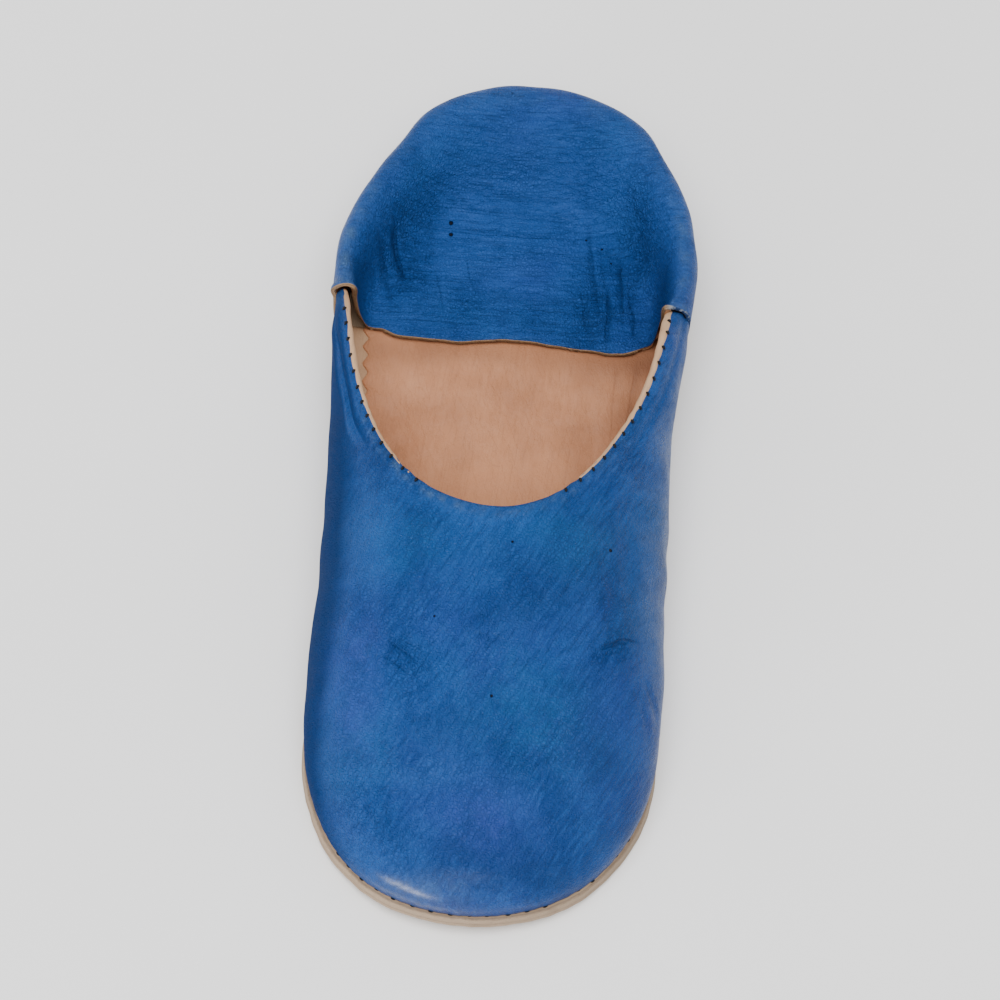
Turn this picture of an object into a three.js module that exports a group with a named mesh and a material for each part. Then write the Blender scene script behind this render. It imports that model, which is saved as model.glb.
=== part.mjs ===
// Babouche slipper: a flat leather slipper with a wide open throat and its back folded down inside.
// Millimetres, +Z up. The toe points to -Y and the heel to +Y, and +X is the outer side of the foot.
// A station is the distance from the heel end along the length of the shoe.

import * as THREE from 'three';

// Driving sizes
const LENGTH = 274;           // rolled back rim to the toe edge of the outsole
const TOE_LEDGE = 1.2;        // the outsole shows this far past the upper round the toe
const OUTSOLE = 4.0;          // thickness of the outsole
const LIFT = 5.0;             // thickness of the heel lift
const INSOLE = 1.8;           // thickness of the insole
const WALL = 1.8;             // blue leather and its lining together
const GAP = 0.3;              // clearance between pieces that meet
const TOE_SPRING = 4.0;       // rise of the outsole's underside at the toe tip
const EDGE = 0.6;             // rounding of cut sole leather
const SEAM_AT = 86.0;         // station of the two side seams
const BREAST_AT = 88.0;       // station of the heel lift's front edge
const BREAST_HOLLOW = 3.0;    // how far that edge curves back at its middle
const LIFT_SHOW = 0.8;        // the lift shows this far past the outsole
const SEAT_END = 92.0;        // the outsole leaves the heel lift here
const BALL_START = 130.0;     // and reaches the ground here
const SPRING_START = 238.0;   // where the toe starts to rise

const UPPER_END = LENGTH - TOE_LEDGE;
const MIDDLE = LENGTH / 2;

// The upper's widest line seen from above. centre and half give its two sides at a station;
// tuck is how far the line where it meets the sole lies inside it; ledge is how far the sole passes
// that line; sock is how far the insole's edge lies inside the widest line.
const PLAN = [
  { at: 0,         centre: 3.4,  half: 0,    tuck: 8.0, ledge: 1.0, sock: 11.5 },
  { at: 10,        centre: 3.6,  half: 30.0, tuck: 7.5, ledge: 1.0, sock: 11.2 },
  { at: 26,        centre: 3.8,  half: 41.2, tuck: 6.0, ledge: 1.0, sock: 10.0 },
  { at: 47,        centre: 2.5,  half: 50.6, tuck: 4.6, ledge: 1.2, sock: 9.0 },
  { at: 68,        centre: 0.8,  half: 54.8, tuck: 3.6, ledge: 1.6, sock: 8.4 },
  { at: 86,        centre: 0.2,  half: 53.7, tuck: 3.2, ledge: 1.4, sock: 8.0 },
  { at: 114,       centre: -0.6, half: 51.4, tuck: 3.2, ledge: 0.8, sock: 7.6 },
  { at: 157,       centre: -0.8, half: 50.6, tuck: 3.0, ledge: 0.6, sock: 7.0 },
  { at: 207,       centre: -1.3, half: 51.1, tuck: 1.8, ledge: 0.8, sock: 5.6 },
  { at: 232,       centre: -1.4, half: 49.1, tuck: 0.9, ledge: 1.2, sock: 4.4 },
  { at: 252,       centre: -2.0, half: 40.3, tuck: 0.4, ledge: 1.2, sock: 3.8 },
  { at: 266,       centre: -2.6, half: 25.6, tuck: 0.2, ledge: 1.2, sock: 3.6 },
  { at: UPPER_END, centre: -3.0, half: 0,    tuck: 0.2, ledge: 1.2, sock: 3.6 },
];

// Vamp sections, from the middle of the throat (share 0) back to a side seam (share 1).
// at, inner and outer place the topline, and top is its height; wide is the height of the widest
// line above the sole; flat and full shape the crown between them.
const VAMP = [
  { share: 0.0, at: 163.8,   inner: -2.0,  outer: -2.0, top: 44.0, wide: 3.5,  flat: 1.30, full: 1.65 },
  { share: 0.2, at: 160.0,   inner: -17.5, outer: 11.3, top: 43.2, wide: 4.5,  flat: 1.32, full: 1.68 },
  { share: 0.4, at: 150.5,   inner: -29.0, outer: 22.0, top: 41.0, wide: 7.0,  flat: 1.38, full: 1.75 },
  { share: 0.6, at: 136.0,   inner: -38.0, outer: 31.5, top: 37.5, wide: 9.0,  flat: 1.45, full: 1.85 },
  { share: 0.8, at: 114.0,   inner: -45.2, outer: 41.0, top: 32.0, wide: 12.0, flat: 1.70, full: 2.00 },
  { share: 1.0, at: SEAM_AT, inner: -50.2, outer: 46.8, top: 25.0, wide: 18.0, flat: 2.00, full: 2.00 },
];

// Heel quarter sections, from the back (share 0) round to a side seam (share 1).
// rim is the height of its fold above the sole, roll_in and roll_out how far the top of the fold
// lies inside the widest line on the inner and outer side; foot is where the flap reaches the
// insole, as a share of its way to the cut edge; steep tightens its slope.
const QUARTER = [
  { share: 0.00, rim: 18.0, roll_in: 6.0, roll_out: 6.0, foot: 0.52, steep: 0.42 },
  { share: 0.35, rim: 19.5, roll_in: 5.6, roll_out: 6.0, foot: 0.46, steep: 0.45 },
  { share: 0.60, rim: 22.0, roll_in: 5.0, roll_out: 6.6, foot: 0.48, steep: 0.50 },
  { share: 0.80, rim: 24.0, roll_in: 4.6, roll_out: 7.2, foot: 0.62, steep: 0.56 },
  { share: 1.00, rim: 25.0, roll_in: 4.4, roll_out: 7.4, foot: 1.00, steep: 0.60 },
];
const RIM_WIDEST = 0.72;      // the fold's widest point, as a share of the rim's height

// The flap's cut front edge, from the inner side to the outer side.
const FLAP_EDGE = [
  { across: -1.0, x: -42.0, at: SEAM_AT },
  { across: -0.8, x: -34.0, at: 89.4 },
  { across: -0.4, x: -17.0, at: 89.0 },
  { across: 0.1,  x: 4.0,   at: 87.2 },
  { across: 0.5,  x: 21.0,  at: 89.0 },
  { across: 0.8,  x: 34.0,  at: 90.4 },
  { across: 1.0,  x: 42.5,  at: SEAM_AT },
];

// Mesh counts
const PLATE_STATIONS = 44;
const VAMP_COLUMNS = 56;
const CROWN_ROWS = 11;
const TUCK_ROWS = 3;
const QUARTER_COLUMNS = 48;
const WALL_ROWS = 4;
const ROLL_ROWS = 5;
const SLOPE_ROWS = 9;
const FLAT_ROWS = 4;

/** Smooth curve through the rows of a table: column as a function of key. */
function along(rows, key, column, value) {
  const last = rows.length - 1;
  const x = THREE.MathUtils.clamp(value, rows[0][key], rows[last][key]);
  let i = 0;
  while (i < last - 1 && x > rows[i + 1][key]) i += 1;
  const slope = (n) => {
    const before = rows[Math.max(n - 1, 0)];
    const after = rows[Math.min(n + 1, last)];
    return (after[column] - before[column]) / (after[key] - before[key]);
  };
  const span = rows[i + 1][key] - rows[i][key];
  const t = (x - rows[i][key]) / span;
  const rise = rows[i + 1][column] - rows[i][column];
  const bend = (slope(i) * span - rise) * (1 - t) - (slope(i + 1) * span - rise) * t;
  return rows[i][column] + rise * t + t * (1 - t) * bend;
}

/** Angle that runs evenly round an end: 0 at the heel, PI at the toe. */
const turn = (at) => Math.acos(THREE.MathUtils.clamp(1 - (2 * at) / UPPER_END, -1, 1));
const stationAt = (angle) => (UPPER_END * (1 - Math.cos(angle))) / 2;
const PLAN_ROWS = PLAN.map((row) => ({ ...row, turn: turn(row.at) }));

/** Height of the outsole's underside: on the lift, down through the arch, flat, then toe spring. */
function underside(at) {
  const arch = THREE.MathUtils.smoothstep(at, SEAT_END, BALL_START);
  const toe = Math.max(0, (at - SPRING_START) / (LENGTH - SPRING_START));
  return (LIFT + GAP) * (1 - arch) + TOE_SPRING * toe * toe;
}
const soleTop = (at) => underside(at) + OUTSOLE;
const feather = (at) => soleTop(at) + GAP;
const insoleTop = (at) => feather(at) + INSOLE;

/** Widest line of the upper: side -1 is the inner side, +1 the outer. */
function widest(angle, side) {
  const centre = along(PLAN_ROWS, 'turn', 'centre', angle);
  const half = Math.max(0, along(PLAN_ROWS, 'turn', 'half', angle));
  return new THREE.Vector2(centre + side * half, stationAt(angle));
}

/** The whole widest line as a ring of samples with outward directions, from heel to toe and back. */
function ring(steps) {
  const points = [];
  for (let i = 0; i < steps; i += 1) points.push({ angle: (Math.PI * i) / steps, side: 1 });
  for (let i = 0; i < steps; i += 1) points.push({ angle: Math.PI * (1 - i / steps), side: -1 });
  const places = points.map(({ angle, side }) => widest(angle, side));
  const total = places.length;
  return points.map((point, i) => {
    const ahead = places[(i + 1) % total];
    const behind = places[(i + total - 1) % total];
    const way = ahead.clone().sub(behind).normalize();
    return { ...point, place: places[i], out: new THREE.Vector2(way.y, -way.x) };
  });
}

/** Widest line cut into a run from one side seam to the other, through an end, even in length. */
function run(throughToe) {
  const fine = 600;
  const samples = ring(fine);
  const total = samples.length;
  const start = throughToe ? 0 : fine;
  const ordered = samples.map((_, i) => samples[(i + start) % total]);
  const keep = ordered.filter(({ place }) => (throughToe ? place.y > SEAM_AT : place.y < SEAM_AT));
  const lengths = [0];
  for (let i = 1; i < keep.length; i += 1) {
    lengths.push(lengths[i - 1] + keep[i].place.distanceTo(keep[i - 1].place));
  }
  const tip = keep.reduce((best, s, i) => {
    const better = throughToe ? s.place.y > keep[best].place.y : s.place.y < keep[best].place.y;
    return better ? i : best;
  }, 0);
  // share -1 is the inner seam and +1 the outer one
  return (share) => {
    const signed = throughToe ? -share : share;
    const goal = signed < 0 ? lengths[tip] * (1 + signed)
      : lengths[tip] + (lengths[lengths.length - 1] - lengths[tip]) * signed;
    let i = 1;
    while (i < lengths.length - 1 && lengths[i] < goal) i += 1;
    const t = (goal - lengths[i - 1]) / (lengths[i] - lengths[i - 1]);
    const place = keep[i - 1].place.clone().lerp(keep[i].place, t);
    const out = keep[i - 1].out.clone().lerp(keep[i].out, t).normalize();
    return { place, out };
  };
}

const planColumn = (column) => (angle) => along(PLAN_ROWS, 'turn', column, angle);
const soleInset = (angle) => planColumn('tuck')(angle) - planColumn('ledge')(angle);

/** A point from x, station and height. */
const point = (x, at, z) => new THREE.Vector3(x, MIDDLE - at, z);

/** A closed body from a ring of corner loops: each loop has the same number of points. */
function geometryOf(vertices, triangles) {
  const geometry = new THREE.BufferGeometry();
  const flat = vertices.flatMap((v) => [v.x, v.y, v.z]);
  geometry.setAttribute('position', new THREE.Float32BufferAttribute(flat, 3));
  geometry.setIndex(triangles);
  geometry.computeVertexNormals();
  return geometry;
}

/** A plate of sole leather: inset gives its edge inside the widest line, low and high its faces. */
function plate(inset, low, high) {
  const samples = ring(PLATE_STATIONS);
  const total = samples.length;
  const levels = [
    { face: low, lift: 0, back: EDGE },
    { face: low, lift: EDGE, back: 0 },
    { face: high, lift: -EDGE, back: 0 },
    { face: high, lift: 0, back: EDGE },
  ];
  const vertices = [];
  for (const { face, lift, back } of levels) {
    for (const { angle, place, out } of samples) {
      const edge = place.clone().addScaledVector(out, -(inset(angle) + back));
      vertices.push(point(edge.x, edge.y, face(edge.y) + lift));
    }
  }
  const triangles = [];
  for (let level = 0; level < levels.length - 1; level += 1) {
    for (let i = 0; i < total; i += 1) {
      const a = level * total + i;
      const b = level * total + ((i + 1) % total);
      triangles.push(a, b + total, b, a, a + total, b + total);
    }
  }
  const top = (levels.length - 1) * total;
  for (let i = 0; i < PLATE_STATIONS; i += 1) {
    const right = i;
    const nextRight = i + 1;
    const left = (total - i) % total;
    const nextLeft = total - i - 1;
    for (const [base, turned] of [[0, false], [top, true]]) {
      const quad = [[right, nextRight, nextLeft], [right, nextLeft, left]];
      for (const [a, b, c] of quad) {
        if (a === b || b === c || a === c) continue;
        if (turned) triangles.push(base + a, base + c, base + b);
        else triangles.push(base + a, base + b, base + c);
      }
    }
  }
  return geometryOf(vertices, triangles);
}

/** A leather wall over a grid of points: the grid is the outer face, the wall lies under it. */
function shell(grid, seat) {
  const columns = grid.length;
  const rows = grid[0].length;
  const inner = grid.map((column, i) => column.map((p, j) => {
    const across = grid[Math.min(i + 1, columns - 1)][j].clone().sub(grid[Math.max(i - 1, 0)][j]);
    const down = column[Math.min(j + 1, rows - 1)].clone().sub(column[Math.max(j - 1, 0)]);
    const normal = across.cross(down).normalize();
    if (j === seat) normal.setZ(0).normalize();
    const moved = p.clone().addScaledVector(normal, -WALL);
    if (i === 0 || i === columns - 1) moved.y = p.y;
    return moved;
  }));
  const vertices = [...grid.flat(), ...inner.flat()];
  const size = columns * rows;
  const index = (i, j, side) => side * size + i * rows + j;
  const triangles = [];
  const quad = (a, b, c, d) => triangles.push(a, b, c, a, c, d);
  for (let i = 0; i < columns - 1; i += 1) {
    for (let j = 0; j < rows - 1; j += 1) {
      quad(index(i, j, 0), index(i + 1, j, 0), index(i + 1, j + 1, 0), index(i, j + 1, 0));
      quad(index(i, j, 1), index(i, j + 1, 1), index(i + 1, j + 1, 1), index(i + 1, j, 1));
    }
    quad(index(i, 0, 0), index(i, 0, 1), index(i + 1, 0, 1), index(i + 1, 0, 0));
    const e = rows - 1;
    quad(index(i, e, 0), index(i + 1, e, 0), index(i + 1, e, 1), index(i, e, 1));
  }
  for (let j = 0; j < rows - 1; j += 1) {
    const e = columns - 1;
    quad(index(0, j, 0), index(0, j + 1, 0), index(0, j + 1, 1), index(0, j, 1));
    quad(index(e, j, 0), index(e, j, 1), index(e, j + 1, 1), index(e, j + 1, 0));
  }
  return geometryOf(vertices, triangles);
}

/** Vamp: columns run from the outer seam round the toe to the inner one, rows from topline to sole. */
function vampGeometry() {
  const line = run(true);
  const rowOf = (share, column) => along(VAMP, 'share', column, Math.abs(share));
  const throat = [
    ...VAMP.slice(1).reverse().map((row) => ({ share: -row.share, x: row.inner, at: row.at })),
    ...VAMP.map((row) => ({ share: row.share, x: row.outer, at: row.at })),
  ];
  const grid = [];
  for (let i = 0; i <= VAMP_COLUMNS; i += 1) {
    const share = 1 - (2 * i) / VAMP_COLUMNS;
    const { place, out } = line(share);
    const topX = along(throat, 'share', 'x', share);
    const topAt = along(throat, 'share', 'at', share) + GAP / 2;
    const tuck = along(PLAN_ROWS, 'turn', 'tuck', turn(place.y));
    const wide = rowOf(share, 'wide');
    const rise = rowOf(share, 'top') - wide;
    const column = [];
    for (let j = 0; j <= CROWN_ROWS; j += 1) {
      const reach = 1 - (1 - j / CROWN_ROWS) ** 2;
      const x = THREE.MathUtils.lerp(topX, place.x, reach);
      const at = THREE.MathUtils.lerp(topAt, Math.max(place.y, SEAM_AT + GAP / 2), reach);
      const height = (1 - reach ** rowOf(share, 'flat')) ** (1 / rowOf(share, 'full'));
      column.push(point(x, at, feather(at) + wide + rise * height));
    }
    for (let j = 1; j <= TUCK_ROWS; j += 1) {
      const phi = (Math.PI / 2) * (1 - j / TUCK_ROWS);
      const inward = tuck * (1 - Math.sin(phi));
      const edge = place.clone().addScaledVector(out, -inward);
      const at = Math.max(edge.y, SEAM_AT + GAP / 2);
      column.push(point(edge.x, at, feather(at) + wide * (1 - Math.cos(phi))));
    }
    grid.push(column);
  }
  return shell(grid, CROWN_ROWS + TUCK_ROWS);
}

/** Heel quarter: rows run up from the sole, over the folded rim and down the flap to its cut edge. */
function quarterGeometry() {
  const line = run(false);
  const grid = [];
  for (let i = 0; i <= QUARTER_COLUMNS; i += 1) {
    const share = 1 - (2 * i) / QUARTER_COLUMNS;
    const { place, out } = line(share);
    const row = (column) => along(QUARTER, 'share', column, Math.abs(share));
    const tuck = along(PLAN_ROWS, 'turn', 'tuck', turn(place.y));
    const seam = SEAM_AT - GAP / 2;
    const base = feather(0);
    const low = RIM_WIDEST * row('rim');
    const roll = row(share < 0 ? 'roll_in' : 'roll_out');
    const cut = new THREE.Vector2(
      along(FLAP_EDGE, 'across', 'x', share),
      along(FLAP_EDGE, 'across', 'at', share) - GAP / 2,
    );
    const inward = cut.clone().sub(place);
    const reach = inward.length();
    inward.normalize();
    const column = [];
    const atSeam = Math.abs(share) === 1;
    const push = (spot, height) => {
      const at = atSeam ? seam : spot.y;
      column.push(point(spot.x, at, base + height));
    };
    for (let j = 0; j < WALL_ROWS; j += 1) {
      const phi = (Math.PI / 2) * (j / WALL_ROWS);
      const spot = place.clone().addScaledVector(out, -tuck * (1 - Math.sin(phi)));
      spot.y = Math.min(spot.y, seam);
      push(spot, low * (1 - Math.cos(phi)));
    }
    for (let j = 0; j < ROLL_ROWS; j += 1) {
      const phi = (Math.PI / 2) * (j / ROLL_ROWS);
      const spot = place.clone().addScaledVector(inward, roll * (1 - Math.cos(phi)));
      push(spot, low + (row('rim') - low) * Math.sin(phi));
    }
    const slope = (reach - roll) * row('foot');
    const rest = INSOLE + GAP + WALL;
    for (let j = 0; j < SLOPE_ROWS; j += 1) {
      const t = j / SLOPE_ROWS;
      const steep = row('steep');
      const onward = 3 * (1 - t) ** 2 * t * steep + 3 * (1 - t) * t * t * (1 - steep) + t ** 3;
      const fall = 3 * (1 - t) * t * t + t ** 3;
      const spot = place.clone().addScaledVector(inward, roll + slope * onward);
      push(spot, row('rim') + (rest - row('rim')) * fall);
    }
    for (let j = 0; j <= FLAT_ROWS; j += 1) {
      const spot = place.clone().addScaledVector(inward, roll + slope).lerp(cut, j / FLAT_ROWS);
      push(spot, rest);
    }
    grid.push(column);
  }
  return shell(grid, 0);
}

/** A named piece with its own leather colour. */
function piece(name, geometry, colour, roughness) {
  const material = new THREE.MeshStandardMaterial({ color: colour, roughness, metalness: 0 });
  const mesh = new THREE.Mesh(geometry, material);
  mesh.name = name;
  return mesh;
}

/** Heel lift: the outsole's heel outline a little fuller, closed by a hollow front edge. */
function liftGeometry() {
  const edge = ring(PLATE_STATIONS)
    .map(({ angle, place, out }) => place.clone().addScaledVector(out, LIFT_SHOW - soleInset(angle)))
    .filter((spot) => spot.y < BREAST_AT);
  const outer = edge.filter((spot) => spot.x > 0).sort((a, b) => a.y - b.y);
  const inner = edge.filter((spot) => spot.x <= 0).sort((a, b) => b.y - a.y);
  const shape = new THREE.Shape();
  const corner = outer[outer.length - 1];
  const far = inner[0];
  shape.moveTo(corner.x, MIDDLE - BREAST_AT);
  shape.quadraticCurveTo(0, MIDDLE - BREAST_AT + 2 * BREAST_HOLLOW, far.x, MIDDLE - BREAST_AT);
  for (const spot of [...inner, ...outer]) shape.lineTo(spot.x, MIDDLE - spot.y);
  const geometry = new THREE.ExtrudeGeometry(shape, {
    depth: LIFT - 2 * EDGE,
    bevelThickness: EDGE,
    bevelSize: EDGE,
    bevelOffset: -EDGE,
    bevelSegments: 1,
    curveSegments: 10,
  });
  geometry.translate(0, 0, EDGE);
  return geometry;
}

const slipper = new THREE.Group();
slipper.add(piece('outsole', plate(soleInset, underside, soleTop), 0xc9a98a, 0.75));
slipper.add(piece('heel_lift', liftGeometry(), 0xbb9a78, 0.8));
slipper.add(piece('insole', plate(planColumn('sock'), feather, insoleTop), 0xc99f7c, 0.7));
slipper.add(piece('vamp', vampGeometry(), 0x2c66b0, 0.45));
slipper.add(piece('heel_quarter', quarterGeometry(), 0x2a63ac, 0.5));

export default slipper;
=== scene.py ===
"""Looks of a babouche slipper: a flat leather slipper with its back folded down inside.

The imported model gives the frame. Every visible piece is worked out here again, fine enough to show
its creases, cut edges and stitches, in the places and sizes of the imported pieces. Sizes are in
millimetres, x to the outer side of the foot, and a station is the distance from the heel end.
"""

import logging
from dataclasses import dataclass, field
from enum import Enum
from typing import Any

import bmesh
import bpy
import numpy as np
from mathutils import Matrix, Vector

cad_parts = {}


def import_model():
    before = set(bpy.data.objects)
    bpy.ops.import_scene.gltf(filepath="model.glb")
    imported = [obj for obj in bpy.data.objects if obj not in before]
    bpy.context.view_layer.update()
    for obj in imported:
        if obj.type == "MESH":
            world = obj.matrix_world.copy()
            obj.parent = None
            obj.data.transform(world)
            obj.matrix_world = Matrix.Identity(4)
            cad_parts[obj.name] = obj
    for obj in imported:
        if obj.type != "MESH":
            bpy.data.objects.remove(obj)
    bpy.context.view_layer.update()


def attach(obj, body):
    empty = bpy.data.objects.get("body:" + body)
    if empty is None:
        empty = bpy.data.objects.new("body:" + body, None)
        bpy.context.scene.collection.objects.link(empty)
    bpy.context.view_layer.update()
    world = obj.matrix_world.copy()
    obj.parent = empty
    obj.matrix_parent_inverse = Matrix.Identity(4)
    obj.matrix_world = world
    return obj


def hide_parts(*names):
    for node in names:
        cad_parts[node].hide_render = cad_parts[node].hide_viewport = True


Array = np.ndarray
Colour = tuple[float, float, float]

LOG = logging.getLogger("slipper")
BODY = "root"
# metres in a millimetre, and millimetres within which points are one and a face has no area
MM = 0.001
MERGE = 0.004
SLIVER = 0.002
# how far, in millimetres, a crease line strays from its straight path
SCORE_BEND = 2.8


class Side(Enum):
    """The two sides of the foot, as the sign of x."""

    INNER = -1.0
    OUTER = 1.0


class Skin(Enum):
    """Which surface of a leather wall a face belongs to: its place in the material list."""

    FACE = 0
    BACK = 1
    CUT = 2


# ---------------------------------------------------------------------------------------------
# Curves and surfaces
# ---------------------------------------------------------------------------------------------


def smooth(low: float, high: float, value: Array) -> Array:
    """Soft step: 0 below low, 1 above high, 3t^2 - 2t^3 between them.

    Args:
        low: Where the step starts.
        high: Where it ends.
        value: Where to read it.
    Returns:
        The step at each value.
    """
    t = np.clip((np.asarray(value, float) - low) / (high - low), 0, 1)
    return t * t * (3 - 2 * t)


def bump(centre: float, width: float, value: Array) -> Array:
    """Bell curve exp(-((value - centre) / width)^2)."""
    return np.exp(-(((np.asarray(value, float) - centre) / width) ** 2))


def curve(keys: Array, values: Array, x: Array) -> Array:
    """Smooth curve through points: a cubic on each span, its end slopes taken from the neighbours.

    Args:
        keys: Rising positions of the points.
        values: Heights of the points.
        x: Where to read the curve.
    Returns:
        The curve's height at each x.
    """
    x = np.clip(np.asarray(x, float), keys[0], keys[-1])
    i = np.clip(np.searchsorted(keys, x, side="right") - 1, 0, len(keys) - 2)
    before = np.maximum(np.arange(len(keys)) - 1, 0)
    after = np.minimum(np.arange(len(keys)) + 1, len(keys) - 1)
    slope = (values[after] - values[before]) / (keys[after] - keys[before])
    span = keys[i + 1] - keys[i]
    t = (x - keys[i]) / span
    rise = values[i + 1] - values[i]
    bend = (slope[i] * span - rise) * (1 - t) - (slope[i + 1] * span - rise) * t
    return values[i] + rise * t + t * (1 - t) * bend


def wander(u: Array, v: Array, size: float, seed: int, waves: int = 7) -> Array:
    """Smooth unevenness: the sum of sine waves that run in seeded directions.

    Args:
        u: First coordinate.
        v: Second coordinate.
        size: Usual length of a wave.
        seed: Seed of the directions.
        waves: How many waves are added.
    Returns:
        A value of about -2 to 2 at each place.
    """
    draw = np.random.default_rng(seed)
    total = np.zeros(np.broadcast(u, v).shape)
    for _ in range(waves):
        heading, phase = draw.uniform(0, 2 * np.pi, 2)
        stretch = draw.uniform(0.6, 1.6)
        run = (u * np.cos(heading) + v * np.sin(heading)) * stretch / size
        total = total + np.sin(2 * np.pi * run + phase)
    return total / np.sqrt(waves)


def unit(v: Array) -> Array:
    """Vectors along the last axis brought to length 1."""
    return v / np.maximum(np.linalg.norm(v, axis=-1, keepdims=True), 1e-9)


def normals(grid: Array) -> Array:
    """Unit normals of a grid: the cross product of its column step and its row step.

    Args:
        grid: Points, columns by rows by 3.
    Returns:
        One unit vector a point.
    """
    across = np.gradient(grid, axis=0)
    down = np.gradient(grid, axis=1)
    return unit(np.cross(across, down))


def row_lengths(grid: Array) -> Array:
    """Distance of each point along its column, from the first row on."""
    steps = np.linalg.norm(np.diff(grid, axis=1), axis=2)
    return np.concatenate([np.zeros((len(grid), 1)), np.cumsum(steps, axis=1)], axis=1)


def even_rows(grid: Array, count: int) -> Array:
    """Grid with its rows spaced evenly along every column.

    Each new point lies between the two old ones on either side of its distance down the column.

    Args:
        grid: Points, columns by rows by 3.
        count: How many rows the new grid has.
    Returns:
        The new points, columns by count by 3.
    """
    arc = row_lengths(grid)
    arc = arc / arc[:, -1:]
    goal = np.linspace(0, 1, count)
    found = (arc[:, None, :] <= goal[None, :, None] + 1e-12).sum(axis=2) - 1
    i = np.clip(found, 0, arc.shape[1] - 2)
    low, high = np.take_along_axis(arc, i, 1), np.take_along_axis(arc, i + 1, 1)
    t = ((goal - low) / np.maximum(high - low, 1e-12))[..., None]
    a = np.take_along_axis(grid, i[..., None], 1)
    b = np.take_along_axis(grid, i[..., None] + 1, 1)
    return a + (b - a) * t


def distance_along(points: Array) -> Array:
    """Distance of each point of a line from the line's first point, along the line."""
    steps = np.linalg.norm(np.diff(points, axis=0), axis=1)
    return np.concatenate([[0], np.cumsum(steps)])


def read_along(goal: Array, distances: Array, points: Array) -> Array:
    """Points of a line at given distances along it.

    Args:
        goal: The distances asked for.
        distances: Distance of each of the line's points.
        points: The line's points, count by 2 or 3.
    Returns:
        One point for each distance asked for.
    """
    axes = range(points.shape[1])
    return np.stack([np.interp(goal, distances, points[:, k]) for k in axes], -1)


def outward(line: Array, side: float) -> Array:
    """Unit directions at right angles to a line of x and station, to the given side.

    Args:
        line: Places from the heel to the toe.
        side: -1 for the inner side, 1 for the outer one.
    Returns:
        One direction a place.
    """
    way = unit(np.gradient(line, axis=0))
    return np.stack([way[:, 1], -way[:, 0]], axis=-1) * side


def path_distance(x: Array, y: Array, path: Array) -> tuple[Array, Array]:
    """Distance to a path of straight steps, and how far along it the nearest point lies.

    Args:
        x: First coordinate of the places.
        y: Second coordinate.
        path: Corners of the path, count by 2.
    Returns:
        The distance, and the share of the path from 0 to 1.
    """
    lengths = np.linalg.norm(np.diff(path, axis=0), axis=1)
    starts = distance_along(path)
    best = np.full(np.shape(x), np.inf)
    share = np.zeros(np.shape(x))
    for k, length in enumerate(lengths):
        step = (path[k + 1] - path[k]) / length
        along = np.clip((x - path[k, 0]) * step[0] + (y - path[k, 1]) * step[1], 0, length)
        gap = np.hypot(x - path[k, 0] - along * step[0], y - path[k, 1] - along * step[1])
        nearer = gap < best
        best = np.where(nearer, gap, best)
        share = np.where(nearer, (starts[k] + along) / starts[-1], share)
    return best, share


@dataclass(frozen=True)
class Table:
    """A short table of sizes with named columns, read as smooth curves."""

    names: str
    rows: tuple[tuple[float, ...], ...]

    def column(self, name: str) -> Array:
        """One column as an array."""
        return np.array(self.rows, float)[:, self.names.split().index(name)]

    def read(self, key: str, name: str, x: Array) -> Array:
        """The column name as a smooth function of the column key."""
        return curve(self.column(key), self.column(name), x)


@dataclass(frozen=True)
class Patch:
    """A soft oval across and along the shoe, for tone, tint, crush, painted light and painted shade.
    """

    x: float
    at: float
    wide: float
    long: float
    amount: float
    turn: float = 0.0

    def value(self, x: Array, at: Array) -> Array:
        """The patch's amount, falling off as a bell along both of its axes."""
        c, s = np.cos(self.turn), np.sin(self.turn)
        u, v = (x - self.x) * c + (at - self.at) * s, (at - self.at) * c - (x - self.x) * s
        return self.amount * np.exp(-((u / self.wide) ** 2) - (v / self.long) ** 2)


@dataclass(frozen=True)
class Crease:
    """A soft trough with a low ridge beside it, laid along a path of x and station."""

    path: tuple[tuple[float, float], ...]
    depth: float
    width: float
    ridge: float = 0.35

    def relief(self, x: Array, at: Array) -> Array:
        """Height of the crease over the leather.

        The trough is a bell across the path that fades to nothing at both ends, and the ridge is a
        wider bell just outside it.

        Args:
            x: Places across the shoe.
            at: Stations of the places.
        Returns:
            The height to add at each place.
        """
        gap, share = path_distance(x, at, np.array(self.path, float))
        fade = np.sin(np.pi * np.clip(share, 0, 1)) ** 0.6
        trough = bump(0, self.width, gap)
        shoulder = bump(2.0 * self.width, self.width, gap)
        return self.depth * fade * (self.ridge * shoulder - trough)


def patch_amount(patches: tuple[Patch, ...], x: Array, at: Array) -> Array:
    """The amounts of all the patches added up at each place."""
    return sum(patch.value(x, at) for patch in patches)


def crease_relief(creases: tuple[Crease, ...], x: Array, at: Array) -> Array:
    """The heights of all the creases added up at each place."""
    return sum(crease.relief(x, at) for crease in creases)


def trough_depth(creases: tuple[Crease, ...], x: Array, at: Array) -> Array:
    """How deep the creases are at each place, from 0 to 1."""
    return np.clip(-crease_relief(creases, x, at), 0, 1)


def evenly(value: Array) -> Array:
    """An unevenness held between -1 and 1."""
    return np.clip(value, -1, 1)


# ---------------------------------------------------------------------------------------------
# The form that the slipper is made on
# ---------------------------------------------------------------------------------------------


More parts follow.
